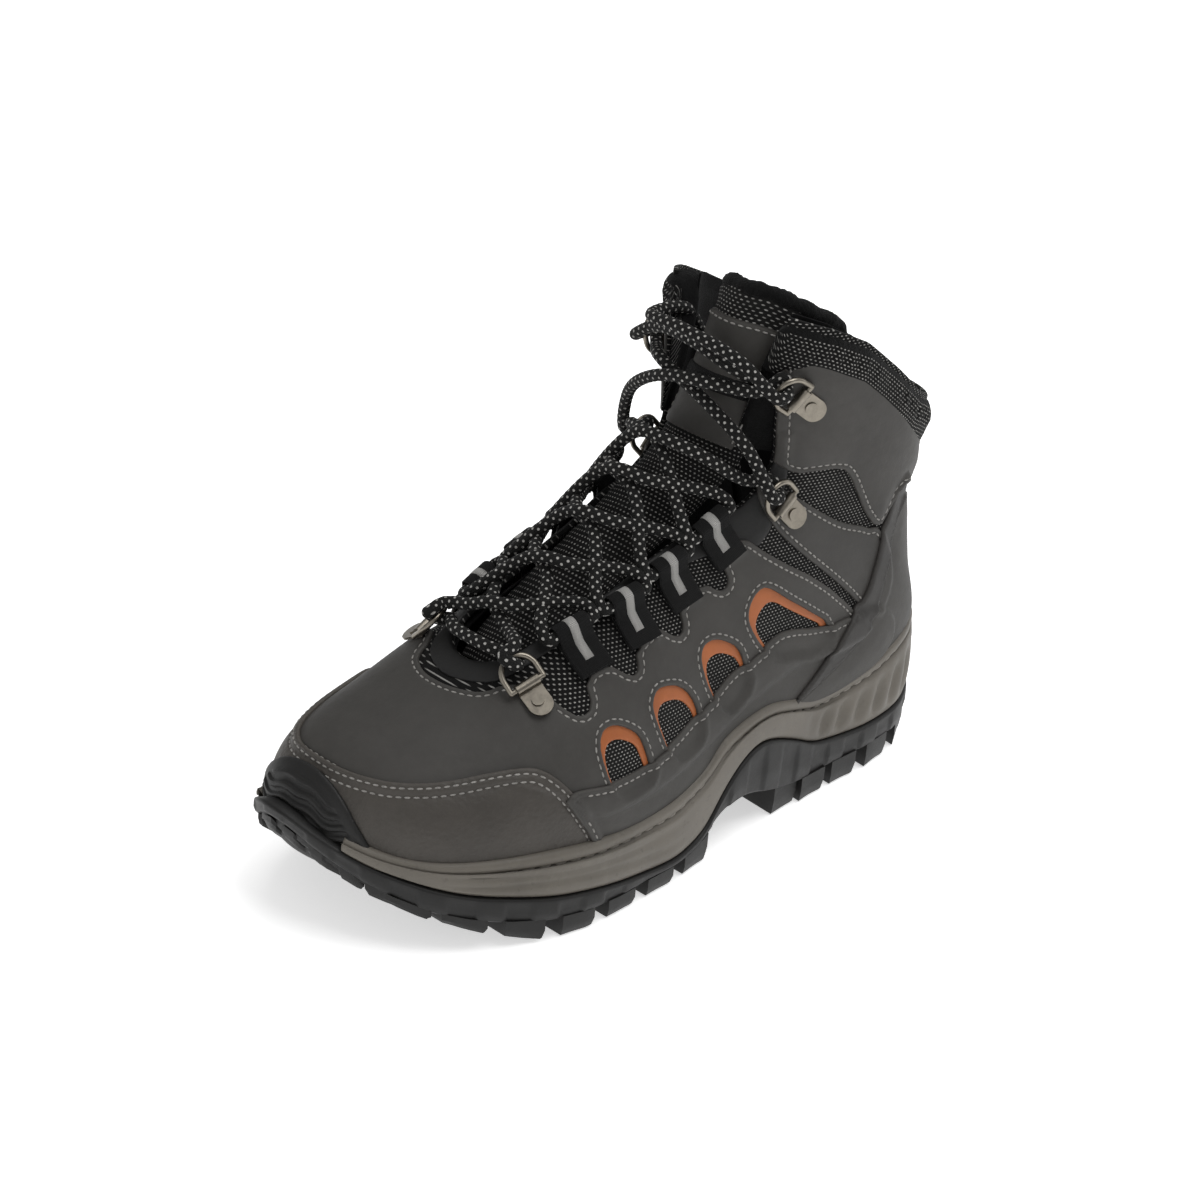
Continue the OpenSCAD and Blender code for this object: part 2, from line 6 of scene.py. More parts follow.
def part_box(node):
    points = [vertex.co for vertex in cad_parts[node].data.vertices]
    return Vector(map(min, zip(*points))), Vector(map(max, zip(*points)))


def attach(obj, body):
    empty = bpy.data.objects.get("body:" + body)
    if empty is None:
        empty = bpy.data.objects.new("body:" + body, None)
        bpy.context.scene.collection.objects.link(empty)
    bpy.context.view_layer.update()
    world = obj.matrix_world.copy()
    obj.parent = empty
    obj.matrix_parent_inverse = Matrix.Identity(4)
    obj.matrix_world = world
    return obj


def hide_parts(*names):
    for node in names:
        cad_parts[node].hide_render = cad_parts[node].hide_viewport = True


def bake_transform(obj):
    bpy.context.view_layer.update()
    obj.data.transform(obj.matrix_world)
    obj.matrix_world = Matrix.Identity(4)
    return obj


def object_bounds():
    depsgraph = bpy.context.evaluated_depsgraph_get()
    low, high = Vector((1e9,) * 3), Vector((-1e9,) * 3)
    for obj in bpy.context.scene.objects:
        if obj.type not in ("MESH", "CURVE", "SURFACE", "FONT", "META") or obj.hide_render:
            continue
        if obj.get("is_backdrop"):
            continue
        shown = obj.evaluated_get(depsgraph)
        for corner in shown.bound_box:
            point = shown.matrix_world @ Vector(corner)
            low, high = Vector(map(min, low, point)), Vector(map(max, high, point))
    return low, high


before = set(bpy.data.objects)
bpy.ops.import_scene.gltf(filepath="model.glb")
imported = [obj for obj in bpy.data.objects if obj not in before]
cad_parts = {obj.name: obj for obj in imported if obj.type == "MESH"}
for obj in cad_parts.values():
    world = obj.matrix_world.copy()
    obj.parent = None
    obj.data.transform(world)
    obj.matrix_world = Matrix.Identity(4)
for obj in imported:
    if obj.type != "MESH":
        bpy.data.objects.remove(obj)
CAD_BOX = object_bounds()
rng = np.random.default_rng(7)
OFF = np.array([5., -4., 0.])
rad = np.radians

# ---------------------------------------------------------------- upper surface (mm, same rows as the CAD)
ST = np.array([
[134,39,-14,134,37,-14,.6,.6,.50,1,1],[132,48,-14,132,29,-14,14,10,.50,1,1],[127,55,-13,127,24,-13,27,19,.52,.95,.9],
[117,62,-11,118,21,-11,40,28,.56,.90,.8],[103,68,-8,105,19,-8,48,36,.60,.88,.7],[85,76,-4,87,18,-5,53,42,.64,.90,.6],
[66,88,0,68,17,-1,54,46,.68,.95,.6],[45,101,1,42,18,2,53,46,.72,1.05,.6],[24,114,1,10,19,4,48,43,.75,1.10,.6],
[6,126,1,-24,22,4,42,40,.76,1.08,.6],[-10,138,1,-64,26,3,39,38,.72,1.0,.65],[-20,149,1,-124,27,2,38,37,.62,.92,.70],
[-26,159,1,-145,42,1,37,36,.57,.86,.80],[-30,169,1,-141,68,1,37,36,.54,.80,.90],[-34,179,1,-137,94,1,38,37,.52,.74,.95],
[-37,188,1,-138,116,1,40,39,.50,.70,.95],[-40,197,1,-140,138,1,42,41,.50,.66,.95],[-42,208,1,-143,158,1,43,42,.50,.66,.95]], float)
K = len(ST)
def cr(tab, s):
    tab = np.asarray(tab, float); n = len(tab); s = np.clip(np.asarray(s, float), 0, n-1)
    i = np.minimum(np.floor(s).astype(int), n-2); f = (s-i)[..., None]
    row = lambda j: tab[np.clip(j, 0, n-1)]
    p1, p2 = row(i), row(i+1)
    p0 = np.where((i < 1)[..., None], 2*p1-p2, row(i-1)); p3 = np.where((i > n-3)[..., None], 2*p2-p1, row(i+2))
    return .5*(2*p1+(p2-p0)*f+(2*p0-5*p1+4*p2-p3)*f*f+(3*p1-p0-3*p2+p3)*f**3)
def S0(s, a):
    s, a = np.broadcast_arrays(np.asarray(s, float), np.asarray(a, float)); a = (a+180) % 360-180
    R = cr(ST, s); b = np.abs(a); up = b <= 90; ca = np.abs(np.cos(rad(b))); sa = np.abs(np.sin(rad(b)))
    e = np.where(up, R[..., 9], R[..., 10]); q = np.where(up, R[..., 8]*(1-ca**e), R[..., 8]+(1-R[..., 8])*ca**e)
    w = np.where(a >= 0, R[..., 6], -R[..., 7])
    return np.stack([R[..., 0]+(R[..., 3]-R[..., 0])*q, R[..., 2]+(R[..., 5]-R[..., 2])*q+w*sa**e, R[..., 1]+(R[..., 4]-R[..., 1])*q], -1)
unit = lambda v: v/np.maximum(np.linalg.norm(v, axis=-1, keepdims=True), 1e-9)
def SN(s, a):
    s = np.clip(s, .15, K-1.05); return unit(np.cross(S0(s, a+4)-S0(s, a-4), S0(s+.1, a)-S0(s-.1, a)))
def SP(s, a, h): s = np.asarray(s, float); a = np.asarray(a, float); return S0(s, a)+np.asarray(h, float)[..., None]*SN(s, a)
def fr(s, a):
    n = SN(s, a); v = S0(s, a+np.sign(a)*4)-S0(s, a); x = unit(v-(v@n)*n); return x, np.cross(n, x), n

NS, NA = ((400, 372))
sv = np.linspace(.25, 16.9, NS); av = -180+360*np.arange(NA)/NA
SS, AA = np.meshgrid(sv, av, indexing='ij')
P = S0(SS, AA); N = SN(SS, AA)
for _ in range(2): N = unit(N+.5*(np.roll(N, 1, 1)+np.roll(N, -1, 1)))
# lengths along the surface, mm
dU = np.linalg.norm(np.diff(np.concatenate([P, P[:, :1]], 1), axis=1), axis=-1)
c0 = NA//2; U = np.zeros((NS, NA)); U[:, c0+1:] = np.cumsum(dU[:, c0:NA-1], 1); U[:, :c0] = -np.cumsum(dU[:, :c0][:, ::-1], 1)[:, ::-1]
V = np.zeros((NS, NA)); V[1:] = np.cumsum(np.linalg.norm(np.diff(P, axis=0), axis=-1), 0)
V = V+8*0
P, N, U, V, SS, AA = P.reshape(-1, 3), N.reshape(-1, 3), U.ravel(), V.ravel(), SS.ravel(), AA.ravel()
ii, jj = np.meshgrid(np.arange(NS-1), np.arange(NA), indexing='ij'); k1 = (jj+1) % NA
a_, b_, c_, d_ = ii*NA+jj, ii*NA+k1, (ii+1)*NA+k1, (ii+1)*NA+jj
even = ((ii+jj) % 2 == 0)[..., None]
TRI = np.concatenate([np.where(even, np.stack([a_, b_, c_], -1), np.stack([a_, b_, d_], -1)).reshape(-1, 3),
                      np.where(even, np.stack([a_, c_, d_], -1), np.stack([b_, c_, d_], -1)).reshape(-1, 3)])
TRI = TRI[:, ::-1] if np.mean((np.cross(P[TRI[:, 1]]-P[TRI[:, 0]], P[TRI[:, 2]]-P[TRI[:, 0]])*N[TRI[:, 0]]).sum(1)) < 0 else TRI
H = np.zeros(len(P))

def chaikin(p, n=2, closed=True):
    p = np.asarray(p, float)
    for _ in range(n):
        q = np.roll(p, -1, 0) if closed else p[1:]; o = p if closed else p[:-1]
        r = np.stack([o*.75+q*.25, o*.25+q*.75], 1).reshape(-1, p.shape[1])
        p = r if closed else np.concatenate([p[:1], r, p[-1:]])
    return p
def inside(poly, x, y):
    r = np.zeros(x.shape, bool); n = len(poly)
    for i in range(n):
        (x0, y0), (x1, y1) = poly[i], poly[(i+1) % n]
        c = (y0 > y) != (y1 > y)
        with np.errstate(all='ignore'): r ^= c & (x < (x1-x0)*(y-y0)/(y1-y0+1e-30)+x0)
    return r
def seg_dist(Q, L, closed=True):
    A = L; B = np.roll(L, -1, 0) if closed else L[1:]; A = A if closed else A[:-1]; out = np.full(len(Q), 1e9)
    for i in range(len(A)):
        d = B[i]-A[i]; t = np.clip(((Q-A[i])@d)/max(d@d, 1e-9), 0, 1)
        out = np.minimum(out, ((Q-A[i]-t[:, None]*d)**2).sum(1))
    return np.sqrt(out)
def field(poly, rnd=2, wrap=False):
    """signed distance (mm, + inside) to an outline given as (section, angle)"""
    p = chaikin(poly, rnd); ang = AA % 360 if wrap else AA
    lo, hi = p.min(0)-[1.0, 14], p.max(0)+[1.0, 14]
    m = (SS > lo[0]) & (SS < hi[0]) & (ang > lo[1]) & (ang < hi[1]); f = np.full(len(P), -30.)
    dense = []
    for i in range(len(p)):
        q = p[(i+1) % len(p)]; L = np.linalg.norm(S0(*p[i])-S0(*q)); n = max(1, int(np.ceil(L/3))); t = np.arange(n)[:, None]/n; dense.append(p[i]*(1-t)+q*t)
    dense = np.concatenate(dense); L3 = S0(dense[:, 0], dense[:, 1])
    d = seg_dist(P[m], L3); s = inside(p, SS[m], ang[m]); f[m] = np.where(s, d, -d); return f
def field_plan(poly, scale=1.15):
    p = chaikin(poly, 2); f = np.full(len(P), -30.); m = (P[:, 2] > 55) & (np.abs(AA) < 92) & (P[:, 0] > -75)
    d = seg_dist(P[m][:, :2], p)*scale; s = inside(p, P[m][:, 0], P[m][:, 1]); f[m] = np.where(s, d, -d); return f
mir = lambda q: [(s, -a) for s, a in q]

def split(A, T, col, level):
    g = A[:, col]-level; g = np.where(np.abs(g) < .03, .03, g); sg = g > 0; c = sg[T].sum(1); keep = (c == 0) | (c == 3); Tk = T[keep]; Tc = T[~keep]
    if not len(Tc): return A, T
    lone = np.where((c[~keep] == 1)[:, None], sg[Tc], ~sg[Tc]); k = lone.argmax(1); r = np.arange(len(Tc))
    a, b, cc = Tc[r, k], Tc[r, (k+1) % 3], Tc[r, (k+2) % 3]
    E = np.concatenate([np.stack([a, b], 1), np.stack([a, cc], 1)]); Es = np.sort(E, 1); key = Es[:, 0].astype(np.int64)*len(A)+Es[:, 1]
    uq, inv = np.unique(key, return_inverse=True); e0, e1 = uq//len(A), uq % len(A)
    t = (g[e0]/(g[e0]-g[e1]))[:, None]; newA = A[e0]*(1-t)+A[e1]*t; newA[:, col] = level+1e-4
    ab, ac = len(A)+inv[:len(Tc)], len(A)+inv[len(Tc):]
    return np.concatenate([A, newA]), np.concatenate([Tk, np.stack([a, ab, ac], 1), np.stack([ab, b, cc], 1), np.stack([ab, cc, ac], 1)])
def chains(A, T, col, level):
    g = A[:, col]-level; g = np.where(np.abs(g) < 1e-4, 1e-4, g); sg = g > 0; c = sg[T].sum(1); Tc = T[(c > 0) & (c < 3)]
    nb = {}; pt = {}
    for tri in Tc:
        ks = []
        for x, y in ((tri[0], tri[1]), (tri[1], tri[2]), (tri[2], tri[0])):
            if sg[x] != sg[y]:
                k = (min(x, y), max(x, y)); ks.append(k)
                if k not in pt: t = g[k[0]]/(g[k[0]]-g[k[1]]); pt[k] = A[k[0]]*(1-t)+A[k[1]]*t
        if len(ks) == 2: nb.setdefault(ks[0], []).append(ks[1]); nb.setdefault(ks[1], []).append(ks[0])
    seen = set(); out = []
    for st in sorted(nb, key=lambda k: len(nb[k])):
        if st in seen: continue
        path = [st]; seen.add(st); cur = st
        while True:
            nx = [k for k in nb[cur] if k not in seen]
            if not nx: break
            cur = nx[0]; seen.add(cur); path.append(cur)
        if len(path) > 4: out.append(np.array([pt[k] for k in path]))
    return out

# ---------------------------------------------------------------- mesh objects
def mesh(name, V3, F, uv=None, mat=None, smooth=True, mm=True, attrs=None, mats=None, midx=None):
    me = bpy.data.meshes.new(name); V3 = np.asarray(V3, float)
    if mm: V3 = (V3+OFF)/1000
    F = [np.asarray(f, np.int32) for f in (F if isinstance(F, list) else [F])]
    me.vertices.add(len(V3)); me.vertices.foreach_set('co', V3.astype(np.float32).ravel())
    loops = np.concatenate([f.ravel() for f in F]); sizes = np.concatenate([np.full(len(f), f.shape[1]) for f in F])
    me.loops.add(len(loops)); me.loops.foreach_set('vertex_index', loops.astype(np.int32))
    me.polygons.add(len(sizes)); me.polygons.foreach_set('loop_start', np.concatenate([[0], np.cumsum(sizes)[:-1]]).astype(np.int32))
    if midx is not None: me.polygons.foreach_set('material_index', np.asarray(midx, np.int32))
    me.update(calc_edges=True)
    if uv is not None: l = me.uv_layers.new(name='UVMap'); l.data.foreach_set('uv', np.asarray(uv, np.float32)[loops].ravel())
    for k, v in (attrs or {}).items(): at = me.attributes.new(k, 'FLOAT', 'POINT'); at.data.foreach_set('value', np.asarray(v, np.float32))
    me.polygons.foreach_set('use_smooth', np.full(len(sizes), bool(smooth)))
    me.validate(); o = bpy.data.objects.new(name, me); bpy.context.scene.collection.objects.link(o)
    for m in (mats or ([mat] if mat else [])): me.materials.append(m)
    return o
def put(o, body='boot', nodes=()):
    if nodes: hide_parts(*nodes)
    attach(o, body); return o
def sharp(o, deg=40):
    me = o.data; me.update(); n = len(me.edges)
    import bmesh
    bm = bmesh.new(); bm.from_mesh(me)
    for e in bm.edges: e.smooth = not (len(e.link_faces) == 2 and e.calc_face_angle(0) > math.radians(deg))
    bm.to_mesh(me); bm.free(); return o
def caps(pts, dirs, nrm, L, r, flat=.75):
    """closed stitch capsules"""
    pts = np.asarray(pts); dirs = unit(np.asarray(dirs)); nrm = unit(np.asarray(nrm)); bi = np.cross(nrm, dirs); m = len(pts)
    rings = [(-.5, .0), (-.42, .62), (-.22, 1), (.22, 1), (.42, .62), (.5, .0)]; k = 6; V3 = []; F = []
    for (t, q) in rings[1:-1]:
        for i in range(k):
            an = 2*math.pi*i/k; sag = -.25*r*(abs(t)*2)**2
            V3.append(pts+dirs*(t*L)+bi*(q*r*math.cos(an))+nrm*(q*r*flat*math.sin(an)+sag))
    V3 += [pts-dirs*L*.5-nrm*.3*r, pts+dirs*L*.5-nrm*.3*r]; V3 = np.stack(V3, 1); nv = V3.shape[1]
    Fq = [[a*k+i, a*k+(i+1) % k, (a+1)*k+(i+1) % k, (a+1)*k+i] for a in range(3) for i in range(k)]
    Ft = [[nv-2, (i+1) % k, i] for i in range(k)]+[[nv-1, 3*k+i, 3*k+(i+1) % k] for i in range(k)]
    o = (np.arange(m)*nv)[:, None, None]
    return V3.reshape(-1, 3), [(np.array(Fq)[None]+o).reshape(-1, 4), (np.array(Ft)[None]+o).reshape(-1, 3)]
def stitch_line(L, Nn, pitch=3.0, length=2.15, r=.36, closed=False, lift=.1):
    d = np.concatenate([[0], np.cumsum(np.linalg.norm(np.diff(L, axis=0), axis=1))])
    if d[-1] < pitch*2: return None
    n = int(d[-1]/pitch); t = (np.arange(n)+.5)*d[-1]/n
    at = lambda q, A: np.stack([np.interp(q, d, A[:, k]) for k in range(3)], 1)
    c = at(t, L); n3 = unit(at(t, Nn)); dr = at(np.minimum(t+.9, d[-1]), L)-at(np.maximum(t-.9, 0), L)
    return c+n3*lift, dr, n3, length
STITCH = {}
def add_stitch(group, res, r=.36):
    if res is not None: STITCH.setdefault(group, []).append((res, r))

prof = lambda x: np.sqrt(np.maximum(0, 1-(1-np.clip(x, 0, 1))**2))
sm = lambda x: (lambda q: q*q*(3-2*q))(np.clip(x, 0, 1))
def panel(name, f, t, mat, nodes=(), r=1.1, edge=.45, stitches=(), under=.35, group=None, base=0.05, body='boot', smask=None, puff=0., hidden=None):
    """leather or cloth piece drape over what lies under it; f = signed distance to its edge"""
    global H
    T = TRI[(f[TRI] > 0).any(1)]; used = np.unique(T); mp = np.full(len(P), -1); mp[used] = np.arange(len(used))
    A = np.column_stack([P, N, H, U, V, f, SS, AA])[used]; T = mp[T]; C = 9
    for lv in [0, .22*r, .6*r, r]+[x for d in stitches for x in (d-.55, d, d+.55)]: A, T = split(A, T, C, lv)
    T = T[A[T][:, :, C].mean(1) > 0]; used = np.unique(T); mp = np.full(len(A), -1); mp[used] = np.arange(len(used)); A = A[used]; T = mp[T]
    f2 = A[:, C]; top = A[:, 6]+base+t*(edge+(1-edge)*prof(f2/r))+puff*sm(f2/9)
    for d in stitches: top = top-.28*np.exp(-((f2-d)/.5)**2)
    Nn = unit(A[:, 3:6]); Vt = A[:, :3]+Nn*top[:, None]; Vb = A[:, :3]+Nn*(A[:, 6]-under)[:, None]; n = len(A)
    E = np.concatenate([T[:, [0, 1]], T[:, [1, 2]], T[:, [2, 0]]]); key = np.sort(E, 1); kk = key[:, 0].astype(np.int64)*n+key[:, 1]
    _, inv, cnt = np.unique(kk, return_inverse=True, return_counts=True); bd = E[cnt[inv] == 1]
    F = [np.concatenate([T, T[:, ::-1]+n]), np.stack([bd[:, 1], bd[:, 0], bd[:, 0]+n, bd[:, 1]+n], 1)]
    uv = np.concatenate([A[:, 7:9], A[:, 7:9]]); ed = np.concatenate([f2, f2*0])
    o = mesh(name, np.concatenate([Vt, Vb]), F, uv, mat, attrs={'edge_mm': ed}); put(o, body, nodes)
    A2 = np.column_stack([Vt, Nn, f2, A[:, 10:12]])
    for d in stitches:
        for c in chains(A2, T, 6, d):
            k = np.ones(len(c), bool) if smask is None else smask(c[:, 7], c[:, 8])
            idx = np.flatnonzero(k)
            for run in np.split(idx, np.flatnonzero(np.diff(idx) > 1)+1) if len(idx) else []:
                if len(run) > 6:
                    L = c[run, :3]; L = np.apply_along_axis(lambda q: np.convolve(np.pad(q, 2, 'edge'), np.ones(5)/5, 'valid'), 0, L)
                    add_stitch(group or name, stitch_line(L, c[run, 3:6]))
    H = H+t*sm((f+1.3)/2.6)+puff*sm(f/9); return o

# ---------------------------------------------------------------- materials
class NT:
    def __init__(s, name):
        s.m = bpy.data.materials.new(name); s.m.use_nodes = True; s.t = s.m.node_tree; s.b = s.t.nodes['Principled BSDF']
    def n(s, kind, **kw):
        x = s.t.nodes.new(kind)
        for k, v in kw.items():
            if k.startswith('i_'): x.inputs[k[2:].replace('_', ' ')].default_value = v
            else: setattr(x, k, v)
        return x
    def l(s, a, b): s.t.links.new(a, b)
    def coord(s, uv=False):
        if not hasattr(s, 'tc'): s.tc = s.n('ShaderNodeTexCoord')
        return s.tc.outputs['UV' if uv else 'Object']
    def noise(s, scale, detail=4, rough=.6, uv=False):
        x = s.n('ShaderNodeTexNoise', i_Scale=scale, i_Detail=detail, i_Roughness=rough); s.l(s.coord(uv), x.inputs['Vector']); return x.outputs['Fac']
    def vor(s, scale, feature='F1', uv=False, out='Distance'):
        x = s.n('ShaderNodeTexVoronoi', feature=feature, i_Scale=scale); s.l(s.coord(uv), x.inputs['Vector']); return x.outputs[out]
    def math(s, op, a, b=0., c=None):
        x = s.n('ShaderNodeMath', operation=op)
        for i, v in enumerate((a, b) if c is None else (a, b, c)):
            if isinstance(v, (int, float)): x.inputs[i].default_value = v
            else: s.l(v, x.inputs[i])
        return x.outputs[0]
    def ramp(s, f, a, b, c0=(0, 0, 0, 1), c1=(1, 1, 1, 1)):
        x = s.n('ShaderNodeMapRange', i_From_Min=a, i_From_Max=b); s.l(f, x.inputs['Value']); return x.outputs[0]
    def mix(s, f, a, b):
        x = s.n('ShaderNodeMix', data_type='RGBA')
        for k, v in ((6, a), (7, b)):
            if isinstance(v, tuple): x.inputs[k].default_value = (*v, 1) if len(v) == 3 else v
            else: s.l(v, x.inputs[k])
        if isinstance(f, (int, float)): x.inputs[0].default_value = f
        else: s.l(f, x.inputs[0])
        return x.outputs[2]
    def attr(s, name): return s.n('ShaderNodeAttribute', attribute_name=name).outputs['Fac']
    def bump(s, h, dist, strength=1., prev=None):
        x = s.n('ShaderNodeBump', i_Distance=dist, i_Strength=strength); s.l(h, x.inputs['Height'])
        if prev is not None: s.l(prev, x.inputs['Normal'])
        return x.outputs['Normal']
    def done(s, col, rough=.6, nrm=None, metal=0., spec=.5, sheen=0., coat=0.):
        b = s.b.inputs
        for k, v in (('Base Color', col), ('Roughness', rough), ('Normal', nrm)):
            if v is None: continue
            if isinstance(v, tuple): b[k].default_value = (*v, 1)
            elif isinstance(v, (int, float)): b[k].default_value = v
            else: s.l(v, b[k])
        b['Metallic'].default_value = metal; b['Specular IOR Level'].default_value = spec; b['Sheen Weight'].default_value = sheen; b['Coat Weight'].default_value = coat
        if sheen: b['Sheen Roughness'].default_value = .45
        return s.m
def leather(name, c, grain=0., rough=.62, worn=1.):
    t = NT(name); v = t.noise(38, 4); w = t.noise(900, 5, .7); mot = t.noise(210, 5, .65)
    col = t.mix(t.ramp(v, .3, .7), tuple(x*.86 for x in c), tuple(x*1.14 for x in c)); col = t.mix(t.math('MULTIPLY', t.ramp(mot, .45, .75), .35), col, tuple(x*1.28 for x in c))
    e = t.ramp(t.math('ADD', t.attr('edge_mm'), t.math('MULTIPLY', t.noise(420, 3), .9)), 1.35, .35)
    col = t.mix(t.math('MULTIPLY', e, .38*worn), col, tuple(min(1, x*2.1) for x in c))
    h = t.bump(w, .00016, .5)
    if grain:
        g = t.vor(640, 'SMOOTH_F1'); g2 = t.vor(1500, 'F1'); h = t.bump(t.math('ADD', t.ramp(g, .0, .75), t.math('MULTIPLY', g2, .35)), .00022*grain, .9, h)
    h = t.bump(t.noise(60, 3), .0012, .22, h)
    return t.done(col, t.math('ADD', t.math('MULTIPLY', t.noise(300, 3), .16), rough-.08), h, spec=.34, sheen=.0)
def woven(name, base, dot, pu=1.7, pv=1.35, amount=1., fuzz=.15):
    """mesh cloth: staggered pale knots on black, lengths in mm from the UV map"""
    t = NT(name); sp = t.n('ShaderNodeSeparateXYZ'); t.l(t.coord(True), sp.inputs[0]); u, v = sp.outputs[0], sp.outputs[1]
    r = t.math('DIVIDE', v, pv); row = t.math('FLOOR', r); sh = t.math('MULTIPLY', t.math('FLOORED_MODULO', row, 2.), .5)
    uu = t.math('SUBTRACT', t.math('FRACT', t.math('ADD', t.math('DIVIDE', u, pu), sh)), .5); vv = t.math('SUBTRACT', t.math('FRACT', r), .5)
    d = t.math('SQRT', t.math('ADD', t.math('POWER', t.math('MULTIPLY', uu, 1.15), 2.), t.math('POWER', t.math('MULTIPLY', vv, 1.5), 2.)))
    k = t.ramp(d, .34, .2); cell = t.n('ShaderNodeTexWhiteNoise', noise_dimensions='2D'); cx = t.n('ShaderNodeCombineXYZ')
    t.l(t.math('FLOOR', t.math('ADD', t.math('DIVIDE', u, pu), sh)), cx.inputs[0]); t.l(row, cx.inputs[1]); t.l(cx.outputs[0], cell.inputs['Vector'])
    bri = t.math('ADD', t.math('MULTIPLY', cell.outputs['Value'], .5), .6); big = t.ramp(t.noise(55, 3), .25, .6)
    f = t.math('MULTIPLY', t.math('MULTIPLY', t.math('MULTIPLY', k, bri), amount), t.math('ADD', t.math('MULTIPLY', big, .35), .65))
    col = t.mix(f, tuple(x for x in base), dot); weave = t.math('MULTIPLY', t.math('SINE', t.math('MULTIPLY', u, 6.28318/pu*2)), t.math('SINE', t.math('MULTIPLY', v, 6.28318/pv*2)))
    h = t.bump(t.math('ADD', t.math('MULTIPLY', weave, .25), k), .00035, .9); h = t.bump(t.noise(90, 3), .001, .25, h)
    return t.done(col, .85, h, spec=.12, sheen=fuzz*.2)
def cloth(name, c, scale=1400, sheen=.3, rough=.9, depth=.0004):
    t = NT(name); a = t.noise(scale, 4, .8); b = t.noise(scale*.18, 4, .7)
    col = t.mix(t.ramp(a, .35, .75), tuple(x*.55 for x in c), tuple(x*1.5 for x in c)); col = t.mix(t.math('MULTIPLY', t.ramp(b, .4, .7), .35), col, tuple(x*1.9 for x in c))
    return t.done(col, rough, t.bump(t.math('ADD', a, t.math('MULTIPLY', b, .8)), depth, .9), spec=.1, sheen=sheen*.12)
def rubber(name, c, rough=.62, speck=0., depth=.00012):
    t = NT(name); a = t.noise(700, 4, .7); b = t.noise(30, 4); col = t.mix(t.ramp(b, .3, .75), tuple(x*.84 for x in c), tuple(x*1.16 for x in c))
    col = t.mix(t.math('MULTIPLY', t.ramp(t.noise(160, 6, .75), .52, .74), .4), col, tuple(x*1.4 for x in c))
    if speck: col = t.mix(t.math('MULTIPLY', t.ramp(t.noise(420, 2), .62, .72), speck), col, tuple(x*.55 for x in c))
    return t.done(col, t.math('ADD', t.math('MULTIPLY', t.noise(120, 4), .22), rough-.1), t.bump(a, depth, .6), spec=.3)
def webbing_mat(name, c, pitch=.9):
    t = NT(name); sp = t.n('ShaderNodeSeparateXYZ'); t.l(t.coord(True), sp.inputs[0]); u, v = sp.outputs[0], sp.outputs[1]
    w = t.math('MULTIPLY', t.math('SINE', t.math('MULTIPLY', t.math('ADD', u, v), 6.283/pitch)), t.math('SINE', t.math('MULTIPLY', t.math('SUBTRACT', u, v), 6.283/pitch)))
    return t.done(t.mix(t.ramp(w, -1, 1), tuple(x*.5 for x in c), tuple(x*1.5 for x in c)), .8, t.bump(w, .0003, .9), spec=.15, sheen=.02)
def metal_mat(name, c, rough=.34):
    t = NT(name); a = t.noise(260, 5, .7); col = t.mix(t.ramp(a, .35, .7), tuple(x*.7 for x in c), c)
    return t.done(col, t.math('ADD', t.math('MULTIPLY', a, .3), rough-.12), t.bump(t.noise(900, 3), .00005, .5), metal=1.)
def plain(name, c, rough=.7, metal=0.):
    t = NT(name); a = t.noise(500, 4); return t.done(t.mix(t.ramp(a, .3, .7), tuple(x*.85 for x in c), tuple(min(1, x*1.15) for x in c)), rough, t.bump(a, .0002, .5), metal=metal)
LEA = leather('leather_grey', (.042, .0395, .036)); LEA2 = leather('leather_ankle', (.038, .036, .033)); TOEL = leather('leather_toe', (.050, .0445, .0385), grain=1., rough=.54)
PIP = leather('leather_piping', (.030, .028, .026), rough=.55); TRIM = leather('trim_orange', (.33, .095, .026), rough=.5, worn=.3); FACM = leather('facing_black', (.0095, .0093, .009), rough=.6, worn=.3)
MESH = woven('mesh_dotted', (.0065, .0065, .0063), (.40, .39, .37)); MESH2 = woven('mesh_tongue', (.0085, .0085, .008), (.36, .35, .335), 1.5, 1.2)
LIN = cloth('lining_brushed', (.006, .006, .006), 1100); RIMM = cloth('binding_fuzzy', (.005, .005, .005), 800, sheen=.5, depth=.0009)
RUB = rubber('rubber_black', (.0105, .0102, .0098), .5); MIDM = rubber('midsole_taupe', (.128, .116, .098), .5, speck=.35); THR_ = plain('sole_thread', (.30, .28, .25), .8)
SEW = cloth('stitch_grey', (.27, .26, .245), 2600, sheen=.1, depth=.0002); WEB = webbing_mat('webbing_black', (.009, .009, .009)); STR = webbing_mat('webbing_stripe', (.50, .49, .47), .8)
MET = metal_mat('ring_nickel', (.27, .245, .205), .3); FOAM = plain('foam', (.05, .05, .045), .9); BOARD = plain('fibre_board', (.30, .22, .14), .9); STIFF = plain('stiffener', (.4, .38, .33), .6)
STEEL = metal_mat('shank_steel', (.6, .6, .6)); FOOT = cloth('footbed_cloth', (.035, .035, .037), 900); AGL = plain('aglet_black', (.012, .012, .012), .25)
